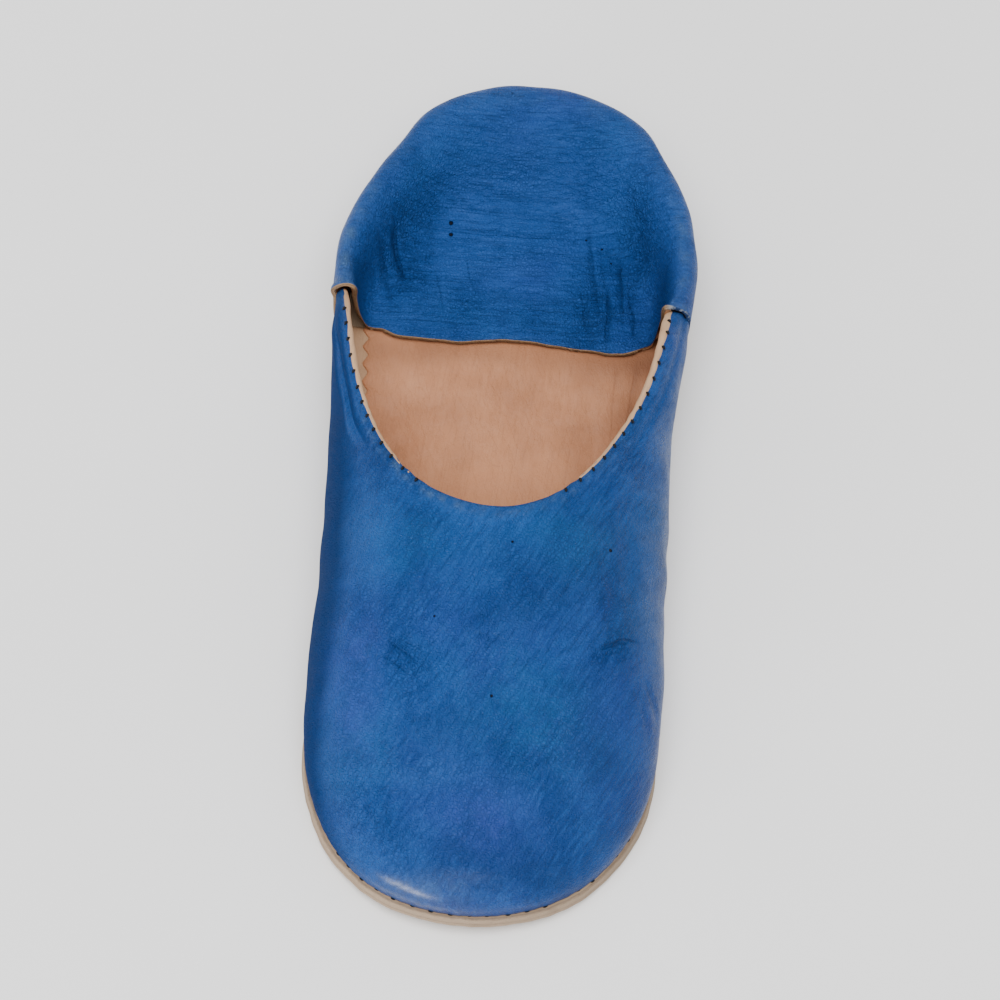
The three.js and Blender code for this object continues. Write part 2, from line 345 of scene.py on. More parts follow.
@dataclass(frozen=True)
class Last:
    """Plan and heights that every piece follows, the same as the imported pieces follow."""

    length: float = 274.0
    toe_ledge: float = 1.2
    outsole: float = 4.0
    lift: float = 5.0
    insole: float = 1.8
    wall: float = 1.8
    gap: float = 0.3
    toe_spring: float = 4.0
    seam_at: float = 86.0
    breast_at: float = 88.0
    breast_hollow: float = 3.0
    lift_show: float = 0.8
    run_samples: int = 2400
    seat_end: float = 92.0
    ball_start: float = 130.0
    spring_start: float = 238.0
    plan_rows: Table = Table(
        "at centre half tuck ledge sock",
        (
            (0, 3.4, 0, 8.0, 1.0, 11.5),
            (10, 3.6, 30.0, 7.5, 1.0, 11.2),
            (26, 3.8, 41.2, 6.0, 1.0, 10.0),
            (47, 2.5, 50.6, 4.6, 1.2, 9.0),
            (68, 0.8, 54.8, 3.6, 1.6, 8.4),
            (86, 0.2, 53.7, 3.2, 1.4, 8.0),
            (114, -0.6, 51.4, 3.2, 0.8, 7.6),
            (157, -0.8, 50.6, 3.0, 0.6, 7.0),
            (207, -1.3, 51.1, 1.8, 0.8, 5.6),
            (232, -1.4, 49.1, 0.9, 1.2, 4.4),
            (252, -2.0, 40.3, 0.4, 1.2, 3.8),
            (266, -2.6, 25.6, 0.2, 1.2, 3.6),
            (272.8, -3.0, 0, 0.2, 1.2, 3.6),
        ),
    )

    @property
    def upper_end(self) -> float:
        """Station of the upper's toe."""
        return self.length - self.toe_ledge

    def turn(self, at: Array) -> Array:
        """Angle that runs evenly round an end: 0 at the heel, pi at the toe."""
        return np.arccos(np.clip(1 - 2 * np.asarray(at, float) / self.upper_end, -1, 1))

    def station(self, angle: Array) -> Array:
        """Station of that angle."""
        return self.upper_end * (1 - np.cos(angle)) / 2

    def plan(self, column: str, angle: Array) -> Array:
        """A column of the plan at an angle."""
        keys = self.turn(self.plan_rows.column("at"))
        return curve(keys, self.plan_rows.column(column), angle)

    def underside(self, at: Array) -> Array:
        """Height of the outsole's underside.

        It lies on the heel lift, comes down through the arch on a soft step, lies flat under the
        ball and rises as a square towards the toe.

        Args:
            at: Stations.
        Returns:
            Heights above the ground.
        """
        arch = smooth(self.seat_end, self.ball_start, at)
        spring = self.length - self.spring_start
        toe = np.maximum(0, (np.asarray(at) - self.spring_start) / spring)
        return (self.lift + self.gap) * (1 - arch) + self.toe_spring * toe**2

    def sole_top(self, at: Array) -> Array:
        """Height of the outsole's top."""
        return self.underside(at) + self.outsole

    def feather(self, at: Array) -> Array:
        """Height at which the upper and the insole start."""
        return self.sole_top(at) + self.gap

    def insole_top(self, at: Array) -> Array:
        """Height of the insole's top."""
        return self.feather(at) + self.insole

    def widest(self, angle: Array, side: Array) -> Array:
        """Widest line of the upper as x and station; side is -1 for the inner side."""
        half = np.maximum(0, self.plan("half", angle))
        x = self.plan("centre", angle) + side * half
        return np.stack([x, self.station(angle)], axis=-1)

    def ring(self, steps: int) -> tuple[Array, Array]:
        """The widest line round the whole shoe, up the outer side and back down the inner one.

        Args:
            steps: Samples a side.
        Returns:
            Places as x and station, and outward directions at right angles to the line.
        """
        out_way = np.pi * np.arange(steps) / steps
        angle = np.concatenate([out_way, np.pi - out_way])
        side = np.concatenate([np.ones(steps), -np.ones(steps)])
        place = self.widest(angle, side)
        way = unit(np.roll(place, -1, axis=0) - np.roll(place, 1, axis=0))
        return place, np.stack([way[:, 1], -way[:, 0]], axis=-1)

    def run(self, through_toe: bool, share: Array) -> tuple[Array, Array]:
        """Widest line between the two side seams, even in length on each side of its end.

        Args:
            through_toe: The run through the toe, or else the one round the heel.
            share: -1 at the inner seam, 0 at the end and 1 at the outer seam.
        Returns:
            Places as x and station, and outward directions.
        """
        steps = self.run_samples
        place, out = self.ring(steps)
        if not through_toe:
            place, out = np.roll(place, -steps, axis=0), np.roll(out, -steps, axis=0)
        keep = (place[:, 1] > self.seam_at) == through_toe
        place, out = place[keep], out[keep]
        lengths = distance_along(place)
        tip = np.argmax(place[:, 1]) if through_toe else np.argmin(place[:, 1])
        signed = -share if through_toe else share
        near = lengths[tip] * (1 + signed)
        far = lengths[tip] + (lengths[-1] - lengths[tip]) * signed
        goal = np.where(signed < 0, near, far)
        return read_along(goal, lengths, place), unit(read_along(goal, lengths, out))

    def solid(self, x: Array, at: Array, z: Array) -> Array:
        """Points in the shared frame from x, station and height."""
        x, at, z = np.broadcast_arrays(x, at, z)
        return np.stack([x, self.length / 2 - at, z], axis=-1)


# ---------------------------------------------------------------------------------------------
# Mesh making
# ---------------------------------------------------------------------------------------------


@dataclass
class Build:
    """Points and faces of one piece, with the skin of each face and named values of each point."""

    points: Array
    faces: Array
    skins: Array
    values: dict[str, Array] = field(default_factory=dict)

    def mark(self, grid: Array, leather: float | None = None, **values: Array) -> None:
        """Gives named values to a wall's points, the same on its face and its back.

        Args:
            grid: The face, columns by rows by 3.
            leather: Thickness of the wall, stored as the depth of the back's points.
            **values: One value for each point of the face.
        """
        for key, value in values.items():
            self.values[key] = np.concatenate([np.broadcast_to(value, grid.shape[:2]).ravel()] * 2)
        if leather is not None:
            self.values["depth"] = leather * (np.arange(len(self.points)) >= grid[..., 0].size)

    def piece(self, name: str, materials: list[bpy.types.Material]) -> bpy.types.Object:
        """Makes the object, in metres, with its equal points merged.

        Args:
            name: Name of the piece.
            materials: One material for each skin that the faces use.
        Returns:
            The new object, riding on nothing yet.
        """
        mesh = bpy.data.meshes.new(name)
        mesh.from_pydata((self.points * MM).tolist(), [], self.faces.tolist())
        for material in materials:
            mesh.materials.append(material)
        skins = np.minimum(self.skins, len(materials) - 1).astype(np.int32)
        mesh.polygons.foreach_set("material_index", skins)
        mesh.polygons.foreach_set("use_smooth", np.ones(len(self.faces), bool))
        for key, value in self.values.items():
            layer = mesh.attributes.new(key, "FLOAT", "POINT")
            layer.data.foreach_set("value", np.asarray(value, np.float32).ravel())
        merge_points(mesh)
        made = bpy.data.objects.new(name, mesh)
        bpy.context.scene.collection.objects.link(made)
        return made


def merge_points(mesh: bpy.types.Mesh) -> None:
    """Merges points that share a place, and drops faces that have no area left.

    Args:
        mesh: The mesh to clean.
    """
    work = bmesh.new()
    work.from_mesh(mesh)
    bmesh.ops.remove_doubles(work, verts=work.verts, dist=MERGE * MM)
    bmesh.ops.dissolve_degenerate(work, dist=SLIVER * MM, edges=work.edges)
    work.to_mesh(mesh)
    work.free()
    mesh.update()


def cell_faces(columns: int, rows: int, start: int = 0, turned: bool = False) -> Array:
    """Four-cornered faces of a grid whose points are numbered column by column.

    Args:
        columns: Points across.
        rows: Points down.
        start: Number of the first point.
        turned: Faces the other way.
    Returns:
        Faces, count by 4.
    """
    i, j = np.meshgrid(np.arange(columns - 1), np.arange(rows - 1), indexing="ij")
    a = start + (i * rows + j).ravel()
    corners = [a, a + rows, a + rows + 1, a + 1]
    return np.stack(corners[::-1] if turned else corners, axis=1)


def border(columns: int, rows: int) -> Array:
    """Numbers of a grid's border points, once round it in the order of its faces."""
    first = np.arange(columns - 1) * rows
    last_column = (columns - 1) * rows + np.arange(rows - 1)
    back = np.arange(columns - 1, 0, -1) * rows + rows - 1
    home = np.arange(rows - 1, 0, -1)
    return np.concatenate([first, last_column, back, home])


def skins_of(*counts: int) -> Array:
    """The skin numbers of so many face, back and cut faces."""
    return np.repeat([skin.value for skin in Skin], counts)


def shell(
    grid: Array, thick: float, seat: int | None = None, upright: Array | float = 0.0
) -> Build:
    """A leather wall: the grid is its face, and its back lies under it along the normals.

    Args:
        grid: The face, columns by rows by 3.
        thick: Thickness of the wall.
        seat: A row that stands on the sole, where the wall's thickness is measured level.
        upright: How far the thickness is measured straight down instead, from 0 to 1.
    Returns:
        The closed wall.
    """
    columns, rows = grid.shape[:2]
    lean = np.broadcast_to(np.asarray(upright, float), grid.shape[:2])[..., None]
    way = unit(normals(grid) * (1 - lean) + np.array([0.0, 0.0, 1.0]) * lean)
    if seat is not None:
        way[:, seat, 2] = 0
        way = unit(way)
    back = grid - way * thick
    size = columns * rows
    face = cell_faces(columns, rows)
    under = cell_faces(columns, rows, size, turned=True)
    loop = border(columns, rows)
    ahead = np.roll(loop, -1)
    sides = np.stack([loop, loop + size, ahead + size, ahead], axis=1)
    points = np.concatenate([grid.reshape(-1, 3), back.reshape(-1, 3)])
    skins = skins_of(len(face), len(under), len(sides))
    return Build(points, np.concatenate([face, under, sides]), skins)


def slab(levels: list[Array]) -> Build:
    """A solid between a low grid and a high one, its edge running through the levels' borders.

    Args:
        levels: Grids of equal size from the underside up, columns by rows by 3.
    Returns:
        The closed solid: top is the face, underside the back and the edge the cut.
    """
    columns, rows = levels[0].shape[:2]
    size = columns * rows
    loop = border(columns, rows)
    count = len(loop)
    low, high = levels[0].reshape(-1, 3), levels[-1].reshape(-1, 3)
    rings = [level.reshape(-1, 3)[loop] for level in levels[1:-1]]
    points = np.concatenate([low, high, *rings])
    between = [2 * size + k * count + np.arange(count) for k in range(len(rings))]
    names = [loop, *between, loop + size]
    edge = []
    for below, above in zip(names[:-1], names[1:]):
        edge.append(np.stack([below, np.roll(below, -1), np.roll(above, -1), above], axis=1))
    under = cell_faces(columns, rows, turned=True)
    top = cell_faces(columns, rows, size)
    cut = np.concatenate(edge)
    if signed_volume(points, np.concatenate([top, under, cut])) < 0:
        top, under, cut = top[:, ::-1], under[:, ::-1], cut[:, ::-1]
    skins = skins_of(len(top), len(under), len(cut))
    return Build(points, np.concatenate([top, under, cut]), skins)


def signed_volume(points: Array, faces: Array) -> float:
    """Volume inside closed faces, below nought if they point inwards."""
    a, b, c, d = (points[faces[:, k]] for k in range(4))
    first = np.einsum("ij,ij->i", a, np.cross(b, c))
    second = np.einsum("ij,ij->i", a, np.cross(c, d))
    return float((first + second).sum() / 6)


def beads(places: Array, along: Array, up: Array, length: float, thick: float) -> Build:
    """Short rounded lengths of thread, one at each place.

    Each is a bar whose radius follows a half circle's root along its length, so that it dives
    into the leather at both ends.

    Args:
        places: Middles of the stitches, count by 3.
        along: Unit directions that they lie in.
        up: Unit directions out of the leather.
        length: Length of a stitch.
        thick: Thickness of the thread.
    Returns:
        All the stitches as one build.
    """
    rings, sides = 6, 6
    t = np.linspace(-1, 1, rings)
    spin = 2 * np.pi * np.arange(sides) / sides
    radius = thick / 2 * np.sqrt(np.clip(1 - t**2, 0.02, 1)) ** 0.8
    arch = thick * 0.35 * (1 - t**2) - thick * 0.25
    side = unit(np.cross(along, up))
    spine = places[:, None] + along[:, None] * (t * length / 2)[None, :, None]
    spine = spine + up[:, None] * arch[None, :, None]
    ring = side[:, None, None] * np.cos(spin)[None, None, :, None]
    ring = ring + up[:, None, None] * np.sin(spin)[None, None, :, None]
    points = spine[:, :, None] + ring * radius[None, :, None, None]
    count = len(places)
    k, j = np.meshgrid(np.arange(rings - 1), np.arange(sides), indexing="ij")
    a, b = (k * sides + j).ravel(), (k * sides + (j + 1) % sides).ravel()
    one = np.stack([a, a + sides, b + sides, b], axis=1)
    caps = []
    for first in (0, (rings - 1) * sides):
        corner = first + np.arange(sides)
        halves = [corner[[0, 1, 2, 3]], corner[[0, 3, 4, 5]]]
        caps += [h[::-1] for h in halves] if first == 0 else halves
    one = np.concatenate([one, np.array(caps)])
    if signed_volume(points[0].reshape(-1, 3), one) < 0:
        one = one[:, ::-1]
    faces = (one[None] + (np.arange(count) * rings * sides)[:, None, None]).reshape(-1, 4)
    return Build(points.reshape(-1, 3), faces, np.zeros(len(faces), int))


# ---------------------------------------------------------------------------------------------
# Node work
# ---------------------------------------------------------------------------------------------


@dataclass
class Sheet:
    """A node tree with short ways to add nodes and give them values or links."""

    tree: bpy.types.NodeTree

    def add(self, kind: str, inputs: dict[Any, Any] | None = None, **settings: Any) -> Any:
        """Adds a node.

        Args:
            kind: Type name of the node.
            inputs: Values or output sockets by input name or number.
            **settings: Attributes of the node.
        Returns:
            The node.
        """
        node = self.tree.nodes.new(kind)
        for key, value in settings.items():
            setattr(node, key, value)
        for key, value in (inputs or {}).items():
            self.feed(node.inputs[key], value)
        return node

    def feed(self, socket: bpy.types.NodeSocket, value: Any) -> None:
        """Links an output to the socket, or sets its value.

        Args:
            socket: The input.
            value: An output socket, a number, a vector or a colour.
        """
        if isinstance(value, bpy.types.NodeSocket):
            self.tree.links.new(value, socket)
        elif socket.type == "RGBA" and len(value) == 3:
            socket.default_value = (*value, 1.0)
        else:
            socket.default_value = value

    def math(self, way: str, a: Any, b: Any = 0.0, clamp: bool = False) -> Any:
        """One step of arithmetic."""
        return self.add("ShaderNodeMath", {0: a, 1: b}, operation=way, use_clamp=clamp).outputs[0]

    def times(self, a: Any, b: Any, clamp: bool = False) -> Any:
        """Two values multiplied."""
        return self.math("MULTIPLY", a, b, clamp)

    def vector(self, way: str, a: Any, b: Any, output: int | str = 0) -> Any:
        """One step of vector arithmetic."""
        return self.add("ShaderNodeVectorMath", {0: a, 1: b}, operation=way).outputs[output]

    def scaled(self, a: Any, factor: float) -> Any:
        """A vector made longer or shorter."""
        return self.add("ShaderNodeVectorMath", {0: a, 3: factor}, operation="SCALE").outputs[0]

    def span(
        self, value: Any, low: float, high: float, start: float = 0.0, end: float = 1.0
    ) -> Any:
        """Value carried from one range to another on a soft step."""
        given = {0: value, 1: low, 2: high, 3: start, 4: end}
        return self.add("ShaderNodeMapRange", given, interpolation_type="SMOOTHSTEP").outputs[0]

    def mix(self, share: Any, a: Any, b: Any) -> Any:
        """Two colours mixed."""
        return self.add("ShaderNodeMix", {0: share, 6: a, 7: b}, data_type="RGBA").outputs[2]

    def noise(self, vector: Any, scale: float, detail: float = 3.0, rough: float = 0.5) -> Any:
        """Noise value with that many waves a millimetre."""
        given = {"Vector": vector, "Scale": scale, "Detail": detail, "Roughness": rough}
        return self.add("ShaderNodeTexNoise", given).outputs["Fac"]

    def turned(self, vector: Any, turn: Any) -> Any:
        """Coordinates turned about the upright axis by a fixed or a given angle."""
        fixed = isinstance(turn, float)
        angle = (0, 0, turn) if fixed else self.add("ShaderNodeCombineXYZ", {2: turn}).outputs[0]
        return self.add("ShaderNodeMapping", {"Vector": vector, "Rotation": angle}).outputs[0]

    def stretch(self, vector: Any, turn: float, scale: tuple[float, float, float]) -> Any:
        """Coordinates turned about the upright axis and then stretched."""
        given = {"Vector": self.turned(vector, turn), "Scale": scale}
        return self.add("ShaderNodeMapping", given).outputs[0]

    def value(self, name: str) -> Any:
        """A named value of the mesh, 0 where the mesh has none."""
        return self.add("ShaderNodeAttribute", attribute_name=name).outputs["Fac"]

    def group(self, tree: bpy.types.NodeTree, inputs: dict[str, Any]) -> Any:
        """Places a node group with its inputs and returns its outputs."""
        return self.add("ShaderNodeGroup", inputs, node_tree=tree).outputs

    def emboss(self, shader: bpy.types.Node, height: Any, depth: float) -> None:
        """Gives a height pattern of so many millimetres to a shader's normal."""
        given = {"Height": height, "Strength": 1.0, "Distance": depth * MM}
        self.feed(shader.inputs["Normal"], self.add("ShaderNodeBump", given).outputs[0])


def open_group(name: str, inputs: dict[str, Any], *outputs: str) -> tuple[Sheet, Any, Any]:
    """Starts a shader node group.

    Args:
        name: Name of the group.
        inputs: Default value of each input: a number, a colour, or None for a vector.
        *outputs: Name of each output, a number unless it is called Color.
    Returns:
        The sheet, its input node's outputs and its output node's inputs.
    """
    tree = bpy.data.node_groups.new(name, "ShaderNodeTree")
    for key, value in inputs.items():
        kind = "NodeSocketVector" if value is None else "NodeSocketFloat"
        kind = "NodeSocketColor" if isinstance(value, tuple) else kind
        socket = tree.interface.new_socket(key, in_out="INPUT", socket_type=kind)
        if isinstance(value, tuple):
            socket.default_value = (*value, 1.0)
        elif value is not None:
            socket.default_value = value
    for key in outputs:
        kind = "NodeSocketColor" if key == "Color" else "NodeSocketFloat"
        tree.interface.new_socket(key, in_out="OUTPUT", socket_type=kind)
    sheet = Sheet(tree)
    return sheet, sheet.add("NodeGroupInput").outputs, sheet.add("NodeGroupOutput").inputs


@dataclass
class Effects:
    """The effects that several finishes share, each one a shader node group."""

    grain: bpy.types.NodeTree = field(init=False)
    dye: bpy.types.NodeTree = field(init=False)
    marks: bpy.types.NodeTree = field(init=False)

    def __post_init__(self) -> None:
        """Builds the three groups."""
        self.grain = self.leather_grain()
        self.dye = self.dye_coat()
        self.marks = self.wear_marks()

    def leather_grain(self) -> bpy.types.NodeTree:
        """Height of leather grain: small cells with sunk edges, pores, and long fine wrinkles.

        Returns:
            The group, with the height and the masks of the pores and of the dark lines.
        """
        given = {"Vector": None, "Cells": 1.0, "Wrinkles": 1.0, "Turn": 0.0}
        sheet, inside, out = open_group("leather grain", given, "Height", "Pores", "Lines")
        place = inside["Vector"]
        warp = sheet.add("ShaderNodeTexNoise", {"Vector": place, "Scale": 0.55, "Detail": 2.0})
        bent = sheet.vector("ADD", place, sheet.scaled(warp.outputs["Color"], 1.4))
        given = {"Vector": bent, "Scale": 0.95}
        cells = sheet.add("ShaderNodeTexVoronoi", given, feature="DISTANCE_TO_EDGE")
        flat = sheet.span(cells.outputs["Distance"], 0.0, 0.28)
        fine = sheet.noise(place, 3.2, 3.0, 0.6)
        slant = sheet.turned(bent, inside["Turn"])
        folds = sheet.noise(sheet.stretch(slant, 0.0, (0.07, 0.34, 0.3)), 1.0, 4.0, 0.62)
        line = sheet.span(sheet.math("ABSOLUTE", sheet.math("SUBTRACT", folds, 0.5)), 0.0, 0.035)
        small = sheet.times(inside["Cells"], sheet.math("ADD", sheet.times(flat, 0.6), fine))
        long = sheet.times(inside["Wrinkles"], line)
        sheet.feed(out["Height"], sheet.math("ADD", small, long))
        dots = sheet.add("ShaderNodeTexVoronoi", {"Vector": place, "Scale": 1.9})
        sheet.feed(out["Pores"], sheet.span(dots.outputs["Distance"], 0.10, 0.2, 1.0, 0.0))
        where = sheet.span(sheet.noise(place, 0.06, 3.0), 0.42, 0.66, 0.25, 1.0)
        ridges = sheet.times(flat, sheet.math("ADD", sheet.times(line, 0.6), 0.4))
        sheet.feed(out["Lines"], sheet.times(sheet.math("SUBTRACT", 1.0, ridges), where))
        return sheet.tree

    def dye_coat(self) -> bpy.types.NodeTree:
        """Colour of hand-rubbed dye: clouds, smaller patches, and streaks left by the cloth.

        Returns:
            The group, with the colour.
        """
        tones = {"Base": (0.1, 0.2, 0.5), "Deep": (0.05, 0.1, 0.3), "Pale": (0.2, 0.3, 0.6)}
        tints = {"Tint One": (0.1, 0.1, 0.5), "Tint Two": (0.1, 0.3, 0.4)}
        given = {"Vector": None, **tones, **tints, "Streaks": 1.0, "Clouds": 1.0, "Turn": -1.08}
        sheet, inside, out = open_group("dye coat", given, "Color")
        place, clouds, streaks = inside["Vector"], inside["Clouds"], inside["Streaks"]
        cloud = sheet.span(sheet.noise(place, 0.026, 3.0, 0.55), 0.40, 0.66)
        patch = sheet.span(sheet.noise(place, 0.085, 4.0, 0.6), 0.42, 0.68)
        tint_one = sheet.span(sheet.noise(sheet.turned(place, 0.4), 0.019, 2.0), 0.50, 0.72)
        tint_two = sheet.span(sheet.noise(sheet.turned(place, 2.1), 0.017, 2.0), 0.52, 0.74)
        slant = sheet.turned(place, inside["Turn"])
        strokes = sheet.noise(sheet.stretch(slant, 0.0, (0.075, 0.95, 0.5)), 1.0, 5.0, 0.66)
        crossed = sheet.noise(sheet.stretch(slant, 0.35, (0.07, 0.8, 0.4)), 1.0, 4.0, 0.62)
        thin = sheet.noise(sheet.stretch(slant, 0.04, (0.035, 1.9, 0.9)), 1.0, 3.0, 0.6)
        hair = sheet.mix(0.5, inside["Deep"], (0.0, 0.0, 0.0))
        coats = (
            (cloud, clouds, inside["Deep"]),
            (tint_one, 0.45, inside["Tint One"]),
            (tint_two, 0.35, inside["Tint Two"]),
            (patch, sheet.times(clouds, 0.35), inside["Pale"]),
            (sheet.span(strokes, 0.44, 0.70), sheet.times(streaks, 0.4), inside["Pale"]),
            (sheet.span(crossed, 0.52, 0.72), sheet.times(streaks, 0.3), inside["Deep"]),
            (sheet.span(thin, 0.56, 0.63), sheet.times(streaks, 0.26), hair),
        )
        colour = inside["Base"]
        for mask, strength, tone in coats:
            colour = sheet.mix(sheet.times(mask, strength), colour, tone)
        sheet.feed(out["Color"], colour)
        return sheet.tree

    def wear_marks(self) -> bpy.types.NodeTree:
        """Masks of small wear: hair-thin scratches and scattered dark specks.

        Returns:
            The group, with both masks.
        """
        sheet, inside, out = open_group("wear marks", {"Vector": None}, "Scratches", "Specks")
        place = inside["Vector"]
        lines = []
        for turn in (-0.45, 0.35):
            run = sheet.noise(sheet.stretch(place, turn, (0.05, 1.5, 0.8)), 1.0, 2.0, 0.5)
            lines.append(sheet.span(run, 0.66, 0.72))
        here = sheet.span(sheet.noise(place, 0.05, 2.0), 0.5, 0.62)
        sheet.feed(out["Scratches"], sheet.times(sheet.math("MAXIMUM", *lines), here))
        cells = sheet.add("ShaderNodeTexVoronoi", {"Vector": place, "Scale": 0.085})
        dot = sheet.span(cells.outputs["Distance"], 0.03, 0.055, 1.0, 0.0)
        apart = sheet.add("ShaderNodeSeparateColor", {0: cells.outputs["Color"]})
        sheet.feed(out["Specks"], sheet.times(dot, sheet.span(apart.outputs[0], 0.62, 0.64)))
        return sheet.tree


def open_material(name: str) -> tuple[bpy.types.Material, Sheet, Any, bpy.types.Node]:
    """Starts a material.

    Args:
        name: Name of the finish.
    Returns:
        The material, its sheet, the place in millimetres and the surface shader.
    """
    material = bpy.data.materials.new(name)
    material.use_nodes = True
    sheet = Sheet(material.node_tree)
    where = sheet.add("ShaderNodeTexCoord").outputs["Object"]
    shader = next(n for n in material.node_tree.nodes if n.type == "BSDF_PRINCIPLED")
    return material, sheet, sheet.scaled(where, 1 / MM), shader


@dataclass(frozen=True)
class Score:
    """A thin crease line from one place to another, as x and y."""

    x: float
    y: float
    to_x: float
    to_y: float
    width: float
    strength: float

    def mask(self, sheet: Sheet, place: Any) -> Any:
        """The line's strength at each place, fading out to its sides and towards both ends.

        Args:
            sheet: The material's sheet.
            place: Places in millimetres.
        Returns:
            The strength.
        """
        half = float(np.hypot(self.to_x - self.x, self.to_y - self.y)) / 2
        along_x, along_y = (self.to_x - self.x) / 2 / half, (self.to_y - self.y) / 2 / half
        middle = ((self.x + self.to_x) / 2, (self.y + self.to_y) / 2, 0.0)
        away = sheet.vector("SUBTRACT", place, middle)
        gaps = []
        for way in ((along_x, along_y, 0.0), (-along_y, along_x, 0.0)):
            gaps.append(sheet.math("ABSOLUTE", sheet.vector("DOT_PRODUCT", away, way, "Value")))
        near = sheet.span(gaps[1], 0.2 * self.width, self.width, self.strength, 0.0)
        return sheet.times(near, sheet.span(gaps[0], 0.45 * half, half, 1.0, 0.0))


def score_mask(sheet: Sheet, place: Any, scores: tuple[Score, ...]) -> Any:
    """Mask of given crease lines, made a little crooked by a slow noise.

    Args:
        sheet: The material's sheet.
        place: Places in millimetres.
        scores: The lines.
    Returns:
        The strongest line's strength at each place.
    """
    given = {"Vector": place, "Scale": 0.11, "Detail": 3.0}
    bend = sheet.add("ShaderNodeTexNoise", given).outputs["Color"]
    bend = sheet.scaled(sheet.vector("SUBTRACT", bend, (0.5, 0.5, 0.5)), SCORE_BEND)
    crooked = sheet.vector("ADD", place, bend)
    mask: Any = 0.0
    for score in scores:
        mask = sheet.math("MAXIMUM", score.mask(sheet, crooked), mask)
    return mask


def prick_mask(sheet: Sheet, place: Any, pricks: tuple[tuple[float, float, float], ...]) -> Any:
    """Mask of small pricked marks: 1 inside a mark's radius, read from x and y alone.

    Args:
        sheet: The material's sheet.
        place: Places in millimetres.
        pricks: Each mark's x, y and radius.
    Returns:
        The mask.
    """
    plan = sheet.vector("MULTIPLY", place, (1.0, 1.0, 0.0))
    mask: Any = 0.0
    for x, y, radius in pricks:
        gap = sheet.vector("DISTANCE", plan, (x, y, 0.0), "Value")
        spot = sheet.span(gap, 0.6 * radius, 1.3 * radius, 1.0, 0.0)
        mask = sheet.math("MAXIMUM", spot, mask)
    return mask


